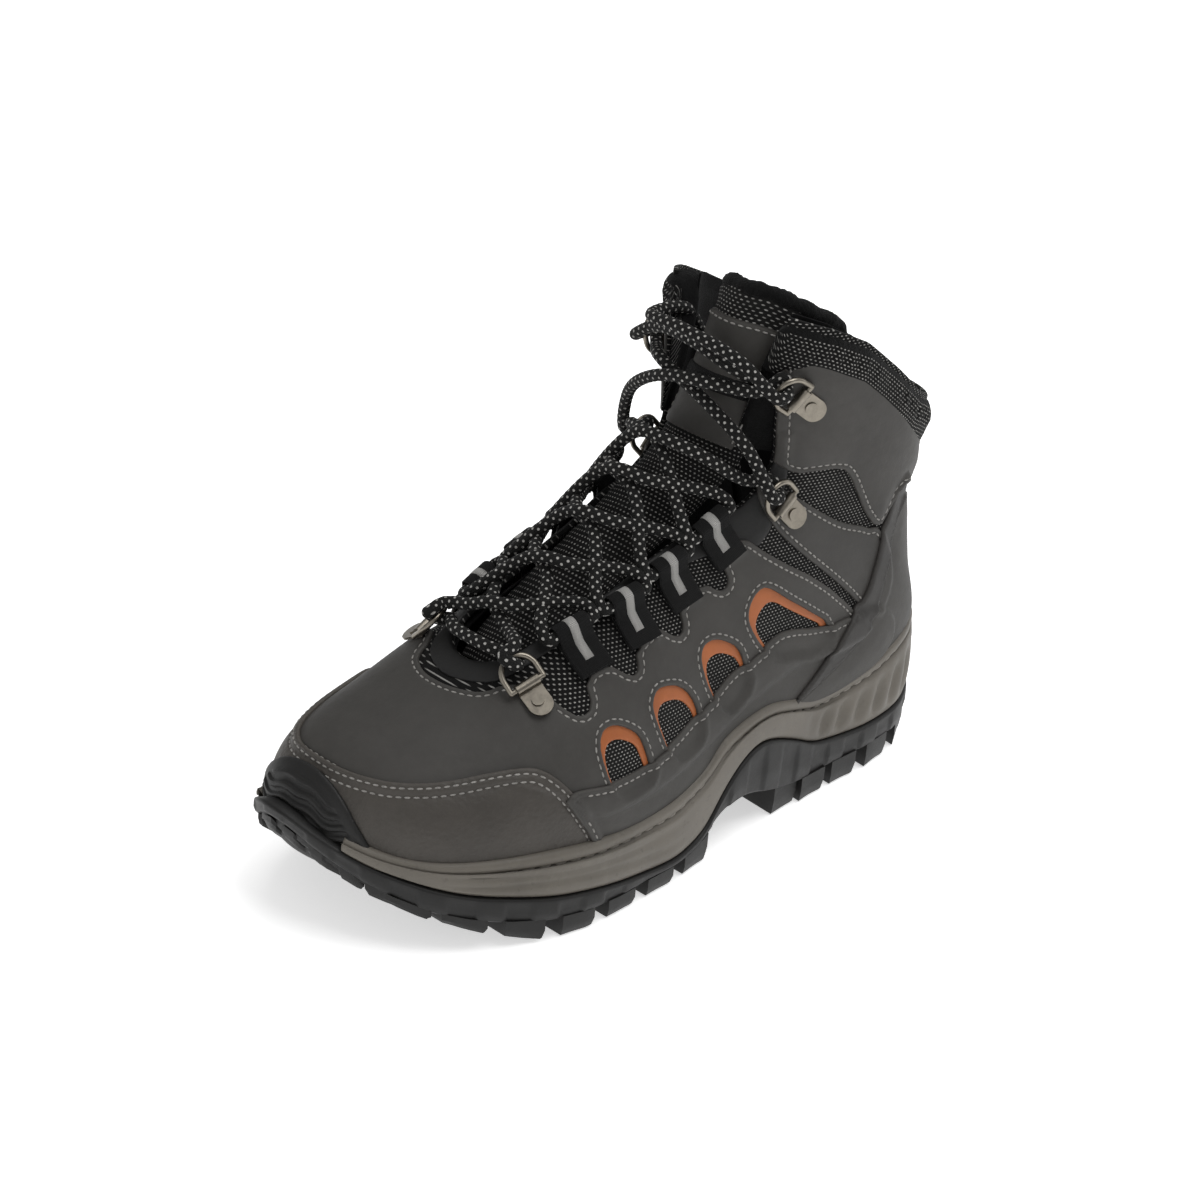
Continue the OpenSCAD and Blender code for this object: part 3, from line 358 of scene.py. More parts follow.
def lace_mat():
    t = NT('lace_braid'); sp = t.n('ShaderNodeSeparateXYZ'); t.l(t.coord(True), sp.inputs[0]); u, v = sp.outputs[0], sp.outputs[1]   # u turns 0..1, v mm
    r = t.math('DIVIDE', v, 1.75); row = t.math('FLOOR', r); sh = t.math('MULTIPLY', t.math('FLOORED_MODULO', row, 2.), .5)
    uu = t.math('SUBTRACT', t.math('FRACT', t.math('ADD', t.math('MULTIPLY', u, 4.), sh)), .5); vv = t.math('SUBTRACT', t.math('FRACT', r), .5)
    d = t.math('SQRT', t.math('ADD', t.math('POWER', t.math('MULTIPLY', uu, 1.8), 2.), t.math('POWER', t.math('MULTIPLY', vv, 1.0), 2.)))
    k = t.ramp(d, .31, .22); br = t.math('MULTIPLY', t.math('SINE', t.math('ADD', t.math('MULTIPLY', u, 6.283*8), t.math('MULTIPLY', v, 4.2))), t.math('SINE', t.math('SUBTRACT', t.math('MULTIPLY', u, 6.283*8), t.math('MULTIPLY', v, 4.2))))
    col = t.mix(k, (.0095, .0095, .009), (.42, .41, .39)); return t.done(col, .8, t.bump(t.math('ADD', t.math('MULTIPLY', br, .6), k), .0003, .9), spec=.15, sheen=.03)
LACE = lace_mat()

# ---------------------------------------------------------------- camera first
cam = bpy.data.objects.new('camera', bpy.data.cameras.new('camera')); bpy.context.scene.collection.objects.link(cam); bpy.context.scene.camera = cam
R3 = Matrix(((-.72153653, -.26100361, .64129724), (.68841768, -.36934517, .62423172), (.07393331, .89188635, .44617553))); cam.matrix_world = R3.to_4x4(); cam.location = (.741306, .706684, .596125)
cam.data.sensor_width = 36; cam.data.lens = 95.28; cam.data.clip_start = .01; cam.data.clip_end = 50; cam.data.dof.use_dof = False
# ---------------------------------------------------------------- outlines on the upper (section, angle)
TOE = [(2.30,-1),(2.45,22),(2.92,38),(3.47,45),(4.15,49),(4.75,51),(5.28,55),(5.55,59),(5.82,67),(6.10,77),(6.32,86),(6.57,94),(6.7,112),(6.75,150)]
f_toe = field([(.05,0)]+TOE+[(.05,150)], 2); fm = field([(.05,0)]+[(s, -a) for s, a in TOE]+[(.05,-150)], 2)
tl = chaikin(np.array([(s, -a) for s, a in TOE[::-1]]+TOE[1:]), 2, False); L3 = S0(tl[:, 0], tl[:, 1]); sL = np.interp(AA, tl[:, 1], tl[:, 0])
f_toe = np.where(SS < 8.5, seg_dist(P, L3, False)*np.sign(sL-SS), -30.)
thr_l = [(5.18,0),(5.22,7),(5.37,15),(5.53,19),(5.77,21),(6.05,28),(6.20,36),(6.32,44),(6.52,51),(6.78,51),(6.86,41),(7.30,43),(7.60,52),(7.77,52),(7.84,46),(8.35,46),(8.63,54),(8.83,54),(8.88,47),(9.45,49),(9.63,55),(9.78,56),(9.87,54),(9.85,48),(10.33,47),(10.60,62),(10.93,77),(11.1,92),(11.1,98)]
low = [(10.4,91),(10.0,88),(9.3,86),(8.5,87),(7.4,89),(6.72,89),(6.3,86),(5.9,76),(5.2,62),(4.8,57),(4.1,55),(3.3,51),(2.75,44),(2.3,28),(2.12,0)]
VQ = thr_l+low+mir(low[::-1])[1:]+mir(thr_l[::-1])[:-1]
W = {'W4': [(6.65,66),(6.71,61),(6.83,59),(7.03,60),(7.25,64),(7.40,68),(7.46,74),(7.52,84),(7.1,85),(6.85,84),(6.72,76)],
     'W3': [(7.74,65),(7.78,62),(7.93,60),(8.17,62),(8.37,65),(8.52,70),(8.56,76),(8.50,83),(8.17,84),(7.90,83),(7.78,72)],
     'W2': [(8.85,67),(8.90,63),(9.03,61.5),(9.23,63),(9.42,67),(9.54,71),(9.55,76),(9.50,82),(9.27,83),(8.97,83),(8.86,73)],
     'W1': [(9.82,69),(9.87,66),(10.03,64),(10.22,64),(10.33,67),(10.42,72),(10.54,78),(10.72,88),(10.5,92),(10.2,86),(9.98,83),(9.86,76)]}
MUDU = [(5.8,74),(6.18,74.5),(6.72,78),(7.42,79),(7.87,78),(8.18,77),(8.53,76),(8.95,76),(9.28,75),(9.65,77),(10.05,78),(10.25,79),(10.62,87),(10.92,90),(11.48,95),(11.6,112)]
MUD = MUDU+[(10.9,118),(9,118),(7.5,122),(5.6,118)]
HLL = [(10.95,90),(11.45,91),(12.10,92),(12.73,97),(13.13,103),(13.85,111),(14.30,118)]; HLR = [(10.23,101),(10.75,96.5),(11.10,96),(11.58,96),(12.12,97),(12.85,106)]
HEEL = [(9.6,112)]+HLR+[(13.5,114),(14.15,124),(14.2,180)]
HEELW = HEEL+[(14.2,236),(13.5,246)]+[(s, 360-a) for s, a in HLR[::-1]]+[(9.6,248)]
COLT = [(14.5,28),(15.1,30),(15.58,34),(15.88,41),(16.02,50),(16.16,65),(16.24,80),(16.12,90),(15.84,101),(15.58,114),(15.28,126),(15.2,150),(15.2,180)]
COLL = [(14.07,32),(13.4,33),(12.73,36),(12.23,35),(12.02,38),(12.00,43),(12.02,47),(12.20,57),(12.63,65),(13.28,79),(13.30,83),(13.13,86),(12.73,91),(12.9,98),(13.3,104),(14.0,114),(14.28,124),(14.3,150),(14.3,180)]
COLW = COLT+[(s, 360-a) for s, a in COLT[::-1]][1:]+[(s, 360-a) for s, a in COLL]+COLL[::-1][1:]
ANKU = [(11.25,44),(11.47,45),(11.72,57),(11.93,70),(12.12,79),(12.48,88),(12.9,97),(12.5,103)]; ANKL = [(10.98,47),(10.88,57),(10.97,68),(11.08,77),(11.18,86),(11.22,92),(11.3,100)]
ANK = ANKU+ANKL[::-1]
ZRIM = lambda x: np.interp(x, [-150,-125,-108,-92,-75,-60,-41,-30], [141,148,158,171,184,191,197,199])
f_rim = (ZRIM(P[:, 0])-P[:, 2])
THRP = [[66,-14],[72,0],[66,14],[45,19],[24,21],[6,21],[-12,23],[-26,27],[-62,31],[-62,-29],[-26,-25],[-12,-21],[6,-19],[24,-19],[45,-17]]
FACP = [[73,-17],[79,-4],[77,8],[71,18.5],[58,22],[45,24],[24,26],[6,26],[-12,28],[-24,31],[-40,34],[-60,30],[-60,-30],[-40,-33],[-24,-29],[-12,-26],[6,-24],[24,-24],[45,-22],[58,-20]]
f_thr = field_plan(THRP)
f_open = np.where((P[:, 0] < -24) & (np.abs(AA) < 60), np.where(AA > 0, 1, -1)*(P[:, 1]-np.where(AA > 0, np.interp(P[:, 2], [120,150,170,200], [23,25,26,27]), -np.interp(P[:, 2], [120,150,170,200], [21,23.5,24.5,25.5]))), 40.)
f_open = np.where(f_thr > 0, -f_thr, np.minimum(-f_thr, f_open))
f_up = np.minimum(f_open, f_rim)

# base cloth, facing, straps footprint
f_mesh = np.minimum(f_up-.2, (SS-.4)*10)
U_, V_ = U.copy(), V.copy(); U[:] = P[:, 0]; V[:] = P[:, 2]*1.12
panel('upper_mesh', f_mesh, .15, MESH, ['mesh_upper'], r=.6, under=1.5, base=0., edge=.3)
U[:] = U_; V[:] = V_
f_fac = np.minimum(np.minimum(field_plan(FACP), f_up-.4), np.where(P[:, 2] > 155, -5, 9))
f_fac = np.where(P[:, 0] < -20, np.minimum(f_fac, (152-P[:, 2])), f_fac)
panel('throat_facing_cloth', f_fac, .9, FACM, ['throat_facing'], r=1.2)
EY = [[6.02,29,-29],[7.05,26,-27],[8.0,32,-32],[9.0,35,-35],[10.0,37,-38],[11.35,54,-54],[14.05,52,-52]]
eye = lambda i, m: EY[i][1 if m > 0 else 2]
FR = {}
for i in range(7):
    for m in (1, -1):
        x, y, n = fr(EY[i][0], float(eye(i, m))); FR[i, m] = (S0(EY[i][0], eye(i, m)), x, y, n)
H0 = H.copy()
for i in range(1, 5):
    for m in (1, -1):
        o, x, y, n = FR[i, m]; q = P-o; lx, ly, lz = q@x, q@y, q@n
        H += 1.5*sm((lx-7)/3)*sm((19-lx)/4)*sm((7.6-np.abs(ly))/1.6)*(np.abs(lz) < 12)
# orange window trims
both = lambda poly, k=2: np.maximum(field(poly, k), field(mir(poly), k))
f_w = {k: both(p, 1) for k, p in W.items()}
for k, p in W.items():
    c = np.mean(p, 0); low_c = c+[.0, 6.5]; ring = np.array([(s, a) for s, a in p]); inner = [tuple(low_c+(np.array(q)-low_c)*np.array([.80, .72] if q[1] < c[1]+4 else [.86, .86])) for q in p]
    fi = both(inner, 1); panel('trim_'+k, np.minimum(f_w[k]+2.5, np.minimum(-fi, 30)), .55, TRIM, ['window_trims_lateral', 'window_trims_medial'] if k == 'W1' else (), r=.9, under=.25)
f_ank = both(ANK); f_ank = np.minimum(f_ank, f_up)
panel('ankle_panel', f_ank, 1.15, LEA2, ['ankle_panel_lateral', 'ankle_panel_medial'], stitches=(2.0,), smask=lambda s, a: np.abs(a) < 96)
f_vq = np.minimum(field(VQ, 1), f_up)
fvh = f_vq.copy()
for k in W: fvh = np.minimum(fvh, -f_w[k])
panel('vamp_quarter_leather', fvh, 1.45, LEA, ['vamp_quarter'], r=1.2, stitches=(2.1,), smask=lambda s, a: (np.abs(a) < 78+(s > 9.6)*14) & ((s > 6.2) | (np.abs(a) < 30)))
panel('toe_cap_leather', np.minimum(f_toe, (SS-.5)*14), 1.5, TOEL, ['toe_cap'], r=1.3, stitches=(2.0, 4.6), smask=lambda s, a: np.abs(a) < 100, puff=.5)
f_mud = both(MUD); f_mud = np.minimum(f_mud, -f_toe+4)
panel('mudguard_leather', f_mud, 1.45, LEA, ['mudguard_lateral', 'mudguard_medial'], r=1.3, stitches=(2.1,), smask=lambda s, a: (np.abs(a) < 97) & (s > 6.25), puff=.5)
f_heel = field(HEELW, 2, True)
panel('heel_leather', f_heel, 1.3, LEA, ['heel_panel'], r=1.2, stitches=(), puff=.6)
PIPE = HLL+[(14.35,126),(14.2,128)]+HEEL[::-1][2:8]+[(10.45,92)]
f_pip = both([(10.62,91)]+HLL+[(14.42,123),(14.12,126),(13.45,113.5)]+HLR[::-1]+[(9.9,106),(10.3,96)])
panel('heel_piping_strip', f_pip, 1.8, PIP, ['backstay_lateral', 'backstay_medial'], r=1.6, edge=.55)
f_col = np.minimum(field(COLW, 1, True), field(COLW, 1, True)); f_col = np.maximum(f_col, field([(s, a-360) for s, a in COLW], 1)) if False else f_col
panel('collar_leather', np.minimum(f_col, f_up-.3), 1.45, LEA, ['collar_panel_lateral', 'collar_panel_medial'], r=1.3, stitches=(2.2,), puff=.9, smask=lambda s, a: np.abs(a) < 150)

# ---------------------------------------------------------------- cuff roll and lining
def sweep(name, rings, mat=None, close_ends=True, loop=False, uv=None, **kw):
    rings = np.asarray(rings); n, m = rings.shape[:2]; V3 = rings.reshape(-1, 3); q = []
    i, j = np.meshgrid(np.arange(n if loop else n-1), np.arange(m), indexing='ij'); i2 = (i+1) % n; j2 = (j+1) % m
    F = [np.stack([i*m+j, i*m+j2, i2*m+j2, i2*m+j], -1).reshape(-1, 4)]
    mi = kw.pop('ringmat', None); midx = None
    if not loop:
        V3 = np.concatenate([V3, rings[:1].mean(1), rings[-1:].mean(1)]); a = np.arange(m); z = np.zeros(m, int)
        F.append(np.concatenate([np.stack([z+n*m, (a+1) % m, a], -1), np.stack([z+n*m+1, (n-1)*m+a, (n-1)*m+(a+1) % m], -1)]))
        if uv is not None: uv = np.concatenate([np.asarray(uv).reshape(-1, 2), uv[0, :1], uv[-1, :1]])
    elif uv is not None: uv = np.asarray(uv).reshape(-1, 2)
    if mi is not None: midx = np.concatenate([np.asarray(mi)[j.ravel()], np.zeros(sum(len(f) for f in F[1:]), int)])
    o = mesh(name, V3, F, uv, mat, midx=midx, **kw)
    # outward check by volume
    vv = V3; T = np.concatenate([F[0][:, [0, 1, 2]], F[0][:, [0, 2, 3]]]+F[1:]); vol = np.einsum('ij,ij->i', vv[T[:, 0]], np.cross(vv[T[:, 1]], vv[T[:, 2]])).sum()
    if vol < 0: o.data.flip_normals()
    return o
def rim_s(a, d=0.):
    ss = np.linspace(13, 17, 400); X = S0(ss, a); g = ZRIM(X[:, 0])-d-X[:, 2]; k = np.flatnonzero(g < 0); return ss[k[0]] if len(k) else 17.
ang = np.concatenate([np.linspace(30.6, 180, 170), np.linspace(181.5, 329.4, 168)]); rings = []; uvs = []; cum = 0; last = None
for a in ang:
    aa = a if a <= 180 else a-360; s1 = rim_s(aa, 4.5); ds = 1/ max(6., np.linalg.norm(S0(s1, aa)-S0(s1-1, aa)))
    endf = sm((min(abs(a-30), abs(330-a)))/10); pad = 6.2; col = []
    o3 = S0(s1-1.2*ds, aa)
    if last is not None: cum += np.linalg.norm(o3-last)
    last = o3
    wob = .35*math.sin(a*.9)+.25*math.sin(a*2.3+1)
    for d, h in ((17, .5), (14, 1.6), (11, 2.3), (8, 2.8), (5, 2.9+wob), (2, 2.5+wob)): col.append(SP(s1-d*ds, aa, h*(.5+.5*endf)))
    top = SP(s1-2*ds, aa, 2.5); inn = SP(s1-2*ds, aa, -9.5*(.55+.45*endf)); upv = unit(S0(s1, aa)-S0(s1-.5, aa)); mid = (top+inn)/2; hw = np.linalg.norm(top-inn)/2; dirn = unit(top-inn)
    for k in range(1, 10):
        t = math.pi*k/10; col.append(mid+dirn*hw*math.cos(t)+upv*(4.6+.5*wob)*math.sin(t)**.9)
    for d, h in ((2, -9.8), (6, -10.4), (12, -10.2), (20, -9.0), (30, -7.2), (42, -5.0)): col.append(SP(s1-d*ds, aa, h*(.6+.4*endf)))
    for d, h in ((42, -3.4), (20, -1.9), (2, -1.9)): col.append(SP(s1-d*ds, aa, h))
    for d in (10, 17): col.append(SP(s1-d*ds, aa, -.6))
    col = np.array(col); cc_ = col[:18].mean(0); ed_ = min(abs(a-30.5), abs(329.5-a))/360*330; sc_ = math.sqrt(max(.0, 1-(1-min(1, ed_/7))**2)); col[:18] = cc_+(col[:18]-cc_)*(.25+.75*sc_); vk = np.concatenate([[0], np.cumsum(np.linalg.norm(np.diff(col, axis=0), axis=1))]); rings.append(col); uvs.append([(cum, q_) for q_ in vk])
nm = len(rings[0]); rm = [0]*6+[1]*3+[2]*(nm-9)
cuff = sweep('collar_padding_roll', rings, uv=np.array(uvs), mats=[MESH, RIMM, LIN], ringmat=rm)
put(cuff, 'boot', ['collar_padding'])
# lining down the shaft
def lin_panel():
    global H
    Hs = H.copy(); padv = np.where(SS < 12.5, 0, np.minimum(6, 3*(SS-12.5))); H[:] = -3.9-padv*.9
    m = np.minimum(np.minimum(f_up-1.0, np.where(np.abs(AA) > 100, 30, 30)), (SS-1)*12)
    o = panel('lining_cloth', m, .1, LIN, ['lining'], r=.5, under=.6, base=0., edge=.5); H[:] = Hs; return o
lin_panel()

# ---------------------------------------------------------------- tongue
TK = np.array([  # z, centre x, half width outer, inner, curl depth outer, inner, shift, thickness
[80,62,17,15,2.5,2.5,0,3.5],[91,46,18,17,3,3,0,4],[103,26,19,18,3.5,3.5,0,4.5],[115,8,19,18,4,4,1,5],[126,-8,20,19,5,5,2,5.5],[137,-20,20,19,8,8,3,6.5],
[149,-27,20,19,14,12,4,8],[162,-31,20,19,22,16,5,9],[175,-35,21,19,30,19,6,9.5],[188,-38,22,19,36,20,7,10],[202,-41,22,18,40,18,7,9.5]])
NU, NV = 110, 56
def tongue_pt(u, v, h):
    r = cr(TK, u); r0 = cr(TK, np.maximum(u-.3, 0)); r1 = cr(TK, np.minimum(u+.3, 10)); dx, dz = r1[..., 1]-r0[..., 1], r1[..., 0]-r0[..., 0]; L = np.hypot(dx, dz); nx, nz = dz/L, -dx/L
    w = np.where(v > 0, r[..., 2], r[..., 3]); dp = np.where(v > 0, r[..., 4], r[..., 5]); an = rad(np.abs(v)*80)
    y = r[..., 6]+np.sign(v)*w*np.sin(an)/math.sin(rad(80)); cu = dp*(1-np.cos(an))/(1-math.cos(rad(80)))
    # top edge drops toward the sides
    drop = sm((u-8)/2)*np.where(v > 0, 17*np.maximum(v-.35, 0)**1.3, 7*np.maximum(-v-.3, 0)); bx = np.cos(rad(v*60)); by = np.sin(rad(v*60))
    return np.stack([r[..., 1]-nx*cu+h*nx*bx+drop*.18, y+h*by, r[..., 0]-nz*cu+h*nz*bx-drop], -1)
def tongue_solid(name, u0, u1, v0, v1, h_out, h_in, mat, nu=NU, nv=NV, edge=.12, nodes=(), wav=0., umm=1.):
    u = np.linspace(u0, u1, nu); v = np.linspace(v0, v1, nv); UU, VV = np.meshgrid(u, v, indexing='ij')
    eu = np.minimum((UU-u0)/(u1-u0), (u1-UU)/(u1-u0))*(u1-u0)*11; ev = np.minimum((VV-v0), (v1-VV))*20; e = np.minimum(eu, ev); r = edge if edge > 1 else 1e-3
    pr = prof((e+.12*r)/r) if edge > 1 else np.ones_like(e); th = h_out-h_in if np.isscalar(h_in) else None
    hi = h_in if np.isscalar(h_in) else -h_in(UU); mid = (h_out+hi)/2; half = (h_out-hi)/2*pr
    w1 = wav*(np.sin(UU*9+VV*2)*np.sin(VV*7-UU)+.5*np.sin(UU*17+VV*11))
    A = tongue_pt(UU, VV, mid+half+w1*pr); B = tongue_pt(UU, VV, mid-half); n = nu*nv; V3 = np.concatenate([A.reshape(-1, 3), B.reshape(-1, 3)])
    i, j = np.meshgrid(np.arange(nu-1), np.arange(nv-1), indexing='ij'); q = np.stack([i*nv+j, (i+1)*nv+j, (i+1)*nv+j+1, i*nv+j+1], -1).reshape(-1, 4)
    bd = np.concatenate([np.arange(nv-1), np.arange(nu-1)*nv+nv-1, (nu-1)*nv+np.arange(nv-1, 0, -1), np.arange(nu-1, 0, -1)*nv]); b2 = np.roll(bd, -1)
    F = np.concatenate([q[:, ::-1], q+n, np.stack([bd, b2, b2+n, bd+n], -1)]); uv = np.stack([VV*20, UU*12.5], -1).reshape(-1, 2)
    o = mesh(name, V3, F, np.concatenate([uv, uv]), mat, attrs={'edge_mm': np.concatenate([e.ravel(), e.ravel()])})
    T = np.concatenate([F[:, [0, 1, 2]], F[:, [0, 2, 3]]]); vol = np.einsum('ij,ij->i', V3[T[:, 0]], np.cross(V3[T[:, 1]], V3[T[:, 2]])).sum()
    if vol < 0: o.data.flip_normals()
    put(o, 'tongue', nodes); return o
thk = lambda u: np.interp(u, range(11), TK[:, 7])
tongue_solid('tongue_pad', 0, 10, -1, 1, -1.2, lambda u: thk(u)+1.2, MESH2, nodes=['tongue_shell', 'tongue_padding'], edge=4.5, wav=.18)
tongue_solid('tongue_patch_leather', 5.9, 9.15, -.84, .70, .15, -1.9, LEA, 60, 40, nodes=['tongue_patch'], edge=1.4)
tongue_solid('tongue_keeper_band', 7.15, 7.62, -.86, .86, 1.0, -1.6, WEB, 14, 40, edge=1.2)
def tube(name, L, r, mat, body='boot', k=14, nodes=(), uvr=None, jitter=0., taper=True, reg=True):
    L = np.asarray(L, float); t = unit(np.gradient(L, axis=0)); n = unit(np.cross(t[0], [.1, .2, 1.])); rings = []; d = np.concatenate([[0], np.cumsum(np.linalg.norm(np.diff(L, axis=0), axis=1))]); uvs = []
    for i in range(len(L)):
        n = unit(n-(n@t[i])*t[i]); b = np.cross(t[i], n); rr = r if np.isscalar(r) else r[i]; e = 1.
        if taper: e = math.sqrt(max(0., 1-(1-min(1, (min(d[i], d[-1]-d[i])+.25*rr)/(rr)))**2))
        an = 2*np.pi*np.arange(k)/k; jt = 1+jitter*(rng.random(k)-.5) if jitter else 1.
        rings.append(L[i]+(rr*e)*(np.cos(an)*jt)[:, None]*n+(rr*e)*(np.sin(an)*jt)[:, None]*b); uvs.append(np.stack([np.arange(k)/k, np.full(k, d[i])], -1))
    o = sweep(name, rings, mat, uv=np.array(uvs))
    # last quad column wraps the uv
    uvl = o.data.uv_layers[0].data; a = np.zeros(len(uvl)*2, np.float32); uvl.foreach_get('uv', a); a = a.reshape(-1, 2); nq = (len(L)-1)*k; q = a[:nq*4].reshape(-1, 4, 2)
    w = (q[:, :, 0].max(1)-q[:, :, 0].min(1)) > .5; q[w, :, 0] = np.where(q[w, :, 0] < .25, q[w, :, 0]+1, q[w, :, 0]); a[:nq*4] = q.reshape(-1, 2); uvl.foreach_set('uv', a.ravel())
    if reg: put(o, body, nodes)
    return o
def resample(L, step=1.):
    L = np.asarray(L, float); d = np.concatenate([[0], np.cumsum(np.linalg.norm(np.diff(L, axis=0), axis=1))]); n = max(2, int(d[-1]/step)); t = np.linspace(0, d[-1], n); return np.stack([np.interp(t, d, L[:, k]) for k in range(3)], 1)
# fuzzy binding round the tongue's free edge
vv = np.linspace(-.99, .99, 70); top = tongue_pt(np.full(70, 9.93), vv, -4.2-0*vv); sd1 = tongue_pt(np.linspace(6.2, 9.93, 60), np.full(60, .99), -4.); sd0 = tongue_pt(np.linspace(9.93, 6.2, 60), np.full(60, -.99), -4.)
edge_l = resample(np.concatenate([sd0[::-1], top[1:-1], sd1[::-1]]), 1.2); edge_l = np.apply_along_axis(lambda q: np.convolve(np.pad(q, 3, 'edge'), np.ones(7)/7, 'valid'), 0, edge_l)
tube('tongue_binding', edge_l, 3.1+.25*np.sin(np.arange(len(edge_l))*.7), RIMM, 'tongue', jitter=.16)
for d, g in ((.06, 'p'),):
    u = np.linspace(6.0, 9.03, 140); v = np.linspace(-.78, .64, 70)
    loopp = np.concatenate([np.stack([u, 0*u-.79], 1), np.stack([0*v+9.03, v], 1), np.stack([u[::-1], 0*u+.65], 1)]); Lp = tongue_pt(loopp[:, 0], loopp[:, 1], .2); Ln = unit(tongue_pt(loopp[:, 0], loopp[:, 1], 2.)-Lp); add_stitch('tongue_patch_leather', stitch_line(Lp, Ln))

# ---------------------------------------------------------------- sole
SO = np.array([[-152,3,-3,12,22,52],[-149,16,-15,10.5,21.5,52.5],[-141,27,-26,9,21,53],[-125,37,-34.5,9,20.3,51.5],[-105,41,-37.5,9,19.8,46.5],[-85,42,-38.5,9,21,43.5],[-70,43.5,-38.5,9,24,43.5],
[-58,45.2,-39,10,29.7,46.5],[-44,47,-40.3,13,35.4,50],[-34,48,-40.5,16,36.6,50],[-24,49.3,-41,17,32.7,48.5],[-14,50.8,-41.6,15,24.6,45.7],[-4,52.6,-42,9.5,14.4,39],[6,54.5,-43,6.5,10.7,35.8],
[16,56.3,-44,6,10,33.5],[30,57.5,-46,6,11,32.7],[45,59,-48,6,13,33],[60,59.5,-50,6.5,15.5,34],[75,57.5,-51,7.5,17.5,35],[90,52.5,-50.5,9.5,20,35],[104,46,-48,12.5,22.8,35],[115,38.5,-44.5,16,26,35.2],
[125,28,-39.5,21,30,36.5],[132,18,-34.5,26,34,39],[138,5,-29,32,39,43],[141.5,-8,-20,37,43,46]])
per = np.concatenate([np.column_stack([SO[:, 0], SO[:, 1], SO[:, 3:]]), np.column_stack([SO[:, 0], SO[:, 2], SO[:, 3:]])[::-1]])   # closed loop x y z0 z1 z2
m_ = len(per); q_ = np.arange(0, m_, .04); i0 = np.floor(q_).astype(int); fq = (q_-i0)[:, None]; G = lambda k: per[(i0+k) % m_]
pc = .5*(2*G(0)+(G(1)-G(-1))*fq+(2*G(-1)-5*G(0)+4*G(1)-G(2))*fq**2+(3*G(0)-G(-1)-3*G(1)+G(2))*fq**3)
d = np.concatenate([[0], np.cumsum(np.linalg.norm(np.diff(np.concatenate([pc, pc[:1]])[:, :2], axis=0), axis=1))]); NP = 760; tq = np.linspace(0, d[-1], NP, endpoint=False)
pc = np.stack([np.interp(tq, d, np.append(pc[:, k], pc[0, k])) for k in range(5)], 1)
sm5 = lambda A, w: np.apply_along_axis(lambda q: np.convolve(np.concatenate([q[-w:], q, q[:w]]), np.ones(2*w+1)/(2*w+1), 'valid'), 0, A); pc = sm5(pc, 3)
tg2 = unit(np.roll(pc[:, :2], -1, 0)-np.roll(pc[:, :2], 1, 0)); cen = pc[:, :2].mean(0); nr = np.stack([tg2[:, 1], -tg2[:, 0]], 1); nr *= np.sign(((pc[:, :2]-cen)*nr).sum(1).mean())
nr = unit(sm5(nr, 4)); X, Z0, Z1, Z2 = pc[:, 0], pc[:, 2], pc[:, 3], pc[:, 4]
def ringp(offs, zz): return np.concatenate([pc[:, :2]+nr*np.asarray(offs)[:, None], np.asarray(zz)[:, None]], 1)
one = np.ones(NP); ht = Z2-Z1
flute = sm((-62-X)/14)*sm((X+150)/10); fl = lambda k: (2.3*np.abs(np.sin(tq*np.pi/11.+k*.9))**1.3-1.9)*flute; ball = sm((X-2)/25)*sm((118-X)/20); wave = .9*np.sin(tq*2*np.pi/58.)
R_ = [ringp(-12*one, Z1+.5), ringp(-2.2*one, Z1+.1), ringp(-.9*one, Z1+.35), ringp(-.35+.0*one, Z1+1.2)]
for k in np.linspace(.14, .74, 12):
    bulge = .5*math.sin(k*3.14)-.55*k*k*1.5; crease = -.75*ball*np.exp(-((k-.33-.05*np.sin(tq/17.))/.05)**2)-.55*ball*np.exp(-((k-.56-.04*np.sin(tq/23.+1))/.045)**2)+.35*ball*math.sin(k*9)
    fade = math.sin(min(1, (k-.08)/.6)*3.14)**.7 if k < .74 else .15
    R_.append(ringp(bulge+crease+fl(k*2.2)*fade, Z1+ht*k+0*one))
zt = Z2
R_ += [ringp(-.55*one, zt-5.9), ringp(-1.0*one, zt-5.5), ringp(-2.1*one, zt-5.25), ringp(-2.15*one, zt-4.7), ringp(-1.2*one, zt-4.4), ringp(-.8*one, zt-3.9), ringp(-.8*one, zt-2.0), ringp(-1.2*one, zt-.9), ringp(-2.1*one, zt-.25), ringp(-3.4*one, zt), ringp(-7*one, zt-.8), ringp(-12*one, zt-3)]
R_ = np.array(R_).transpose(1, 0, 2); keepm = X < 134.5
st_i = np.flatnonzero(~keepm); a0 = (st_i[-1]+1) % NP if st_i[0] > 0 else None
order = np.roll(np.arange(NP), -(st_i.max()+1)) if len(st_i) and st_i.max()+1 < NP else np.arange(NP); order = np.array([k for k in order if keepm[k]])
MUV = np.stack([np.repeat(tq[:, None], R_.shape[1], 1), np.repeat(np.arange(R_.shape[1])[None]*2., NP, 0)], -1)
mid_o = sweep('midsole_wall', R_[order], MIDM, uv=MUV[order]); put(mid_o, 'boot', ['midsole'])
# stitches lying in the groove
Lg = ringp(-1.75*one, zt-4.95)[order]; Ng = np.concatenate([nr, 0*nr[:, :1]], 1)[order]; kk = (Lg[:, 0] < 127)
sl = stitch_line(Lg[kk], Ng[kk], 6.2, 4.6, .55, lift=0.); c_, d_2, n_, l_ = sl
V3, F = caps(c_, d_2, n_, 4.6, .6, .7); put(mesh('sole_stitching', V3, F, None, THR_), 'boot', ['sidewall_stitching'])
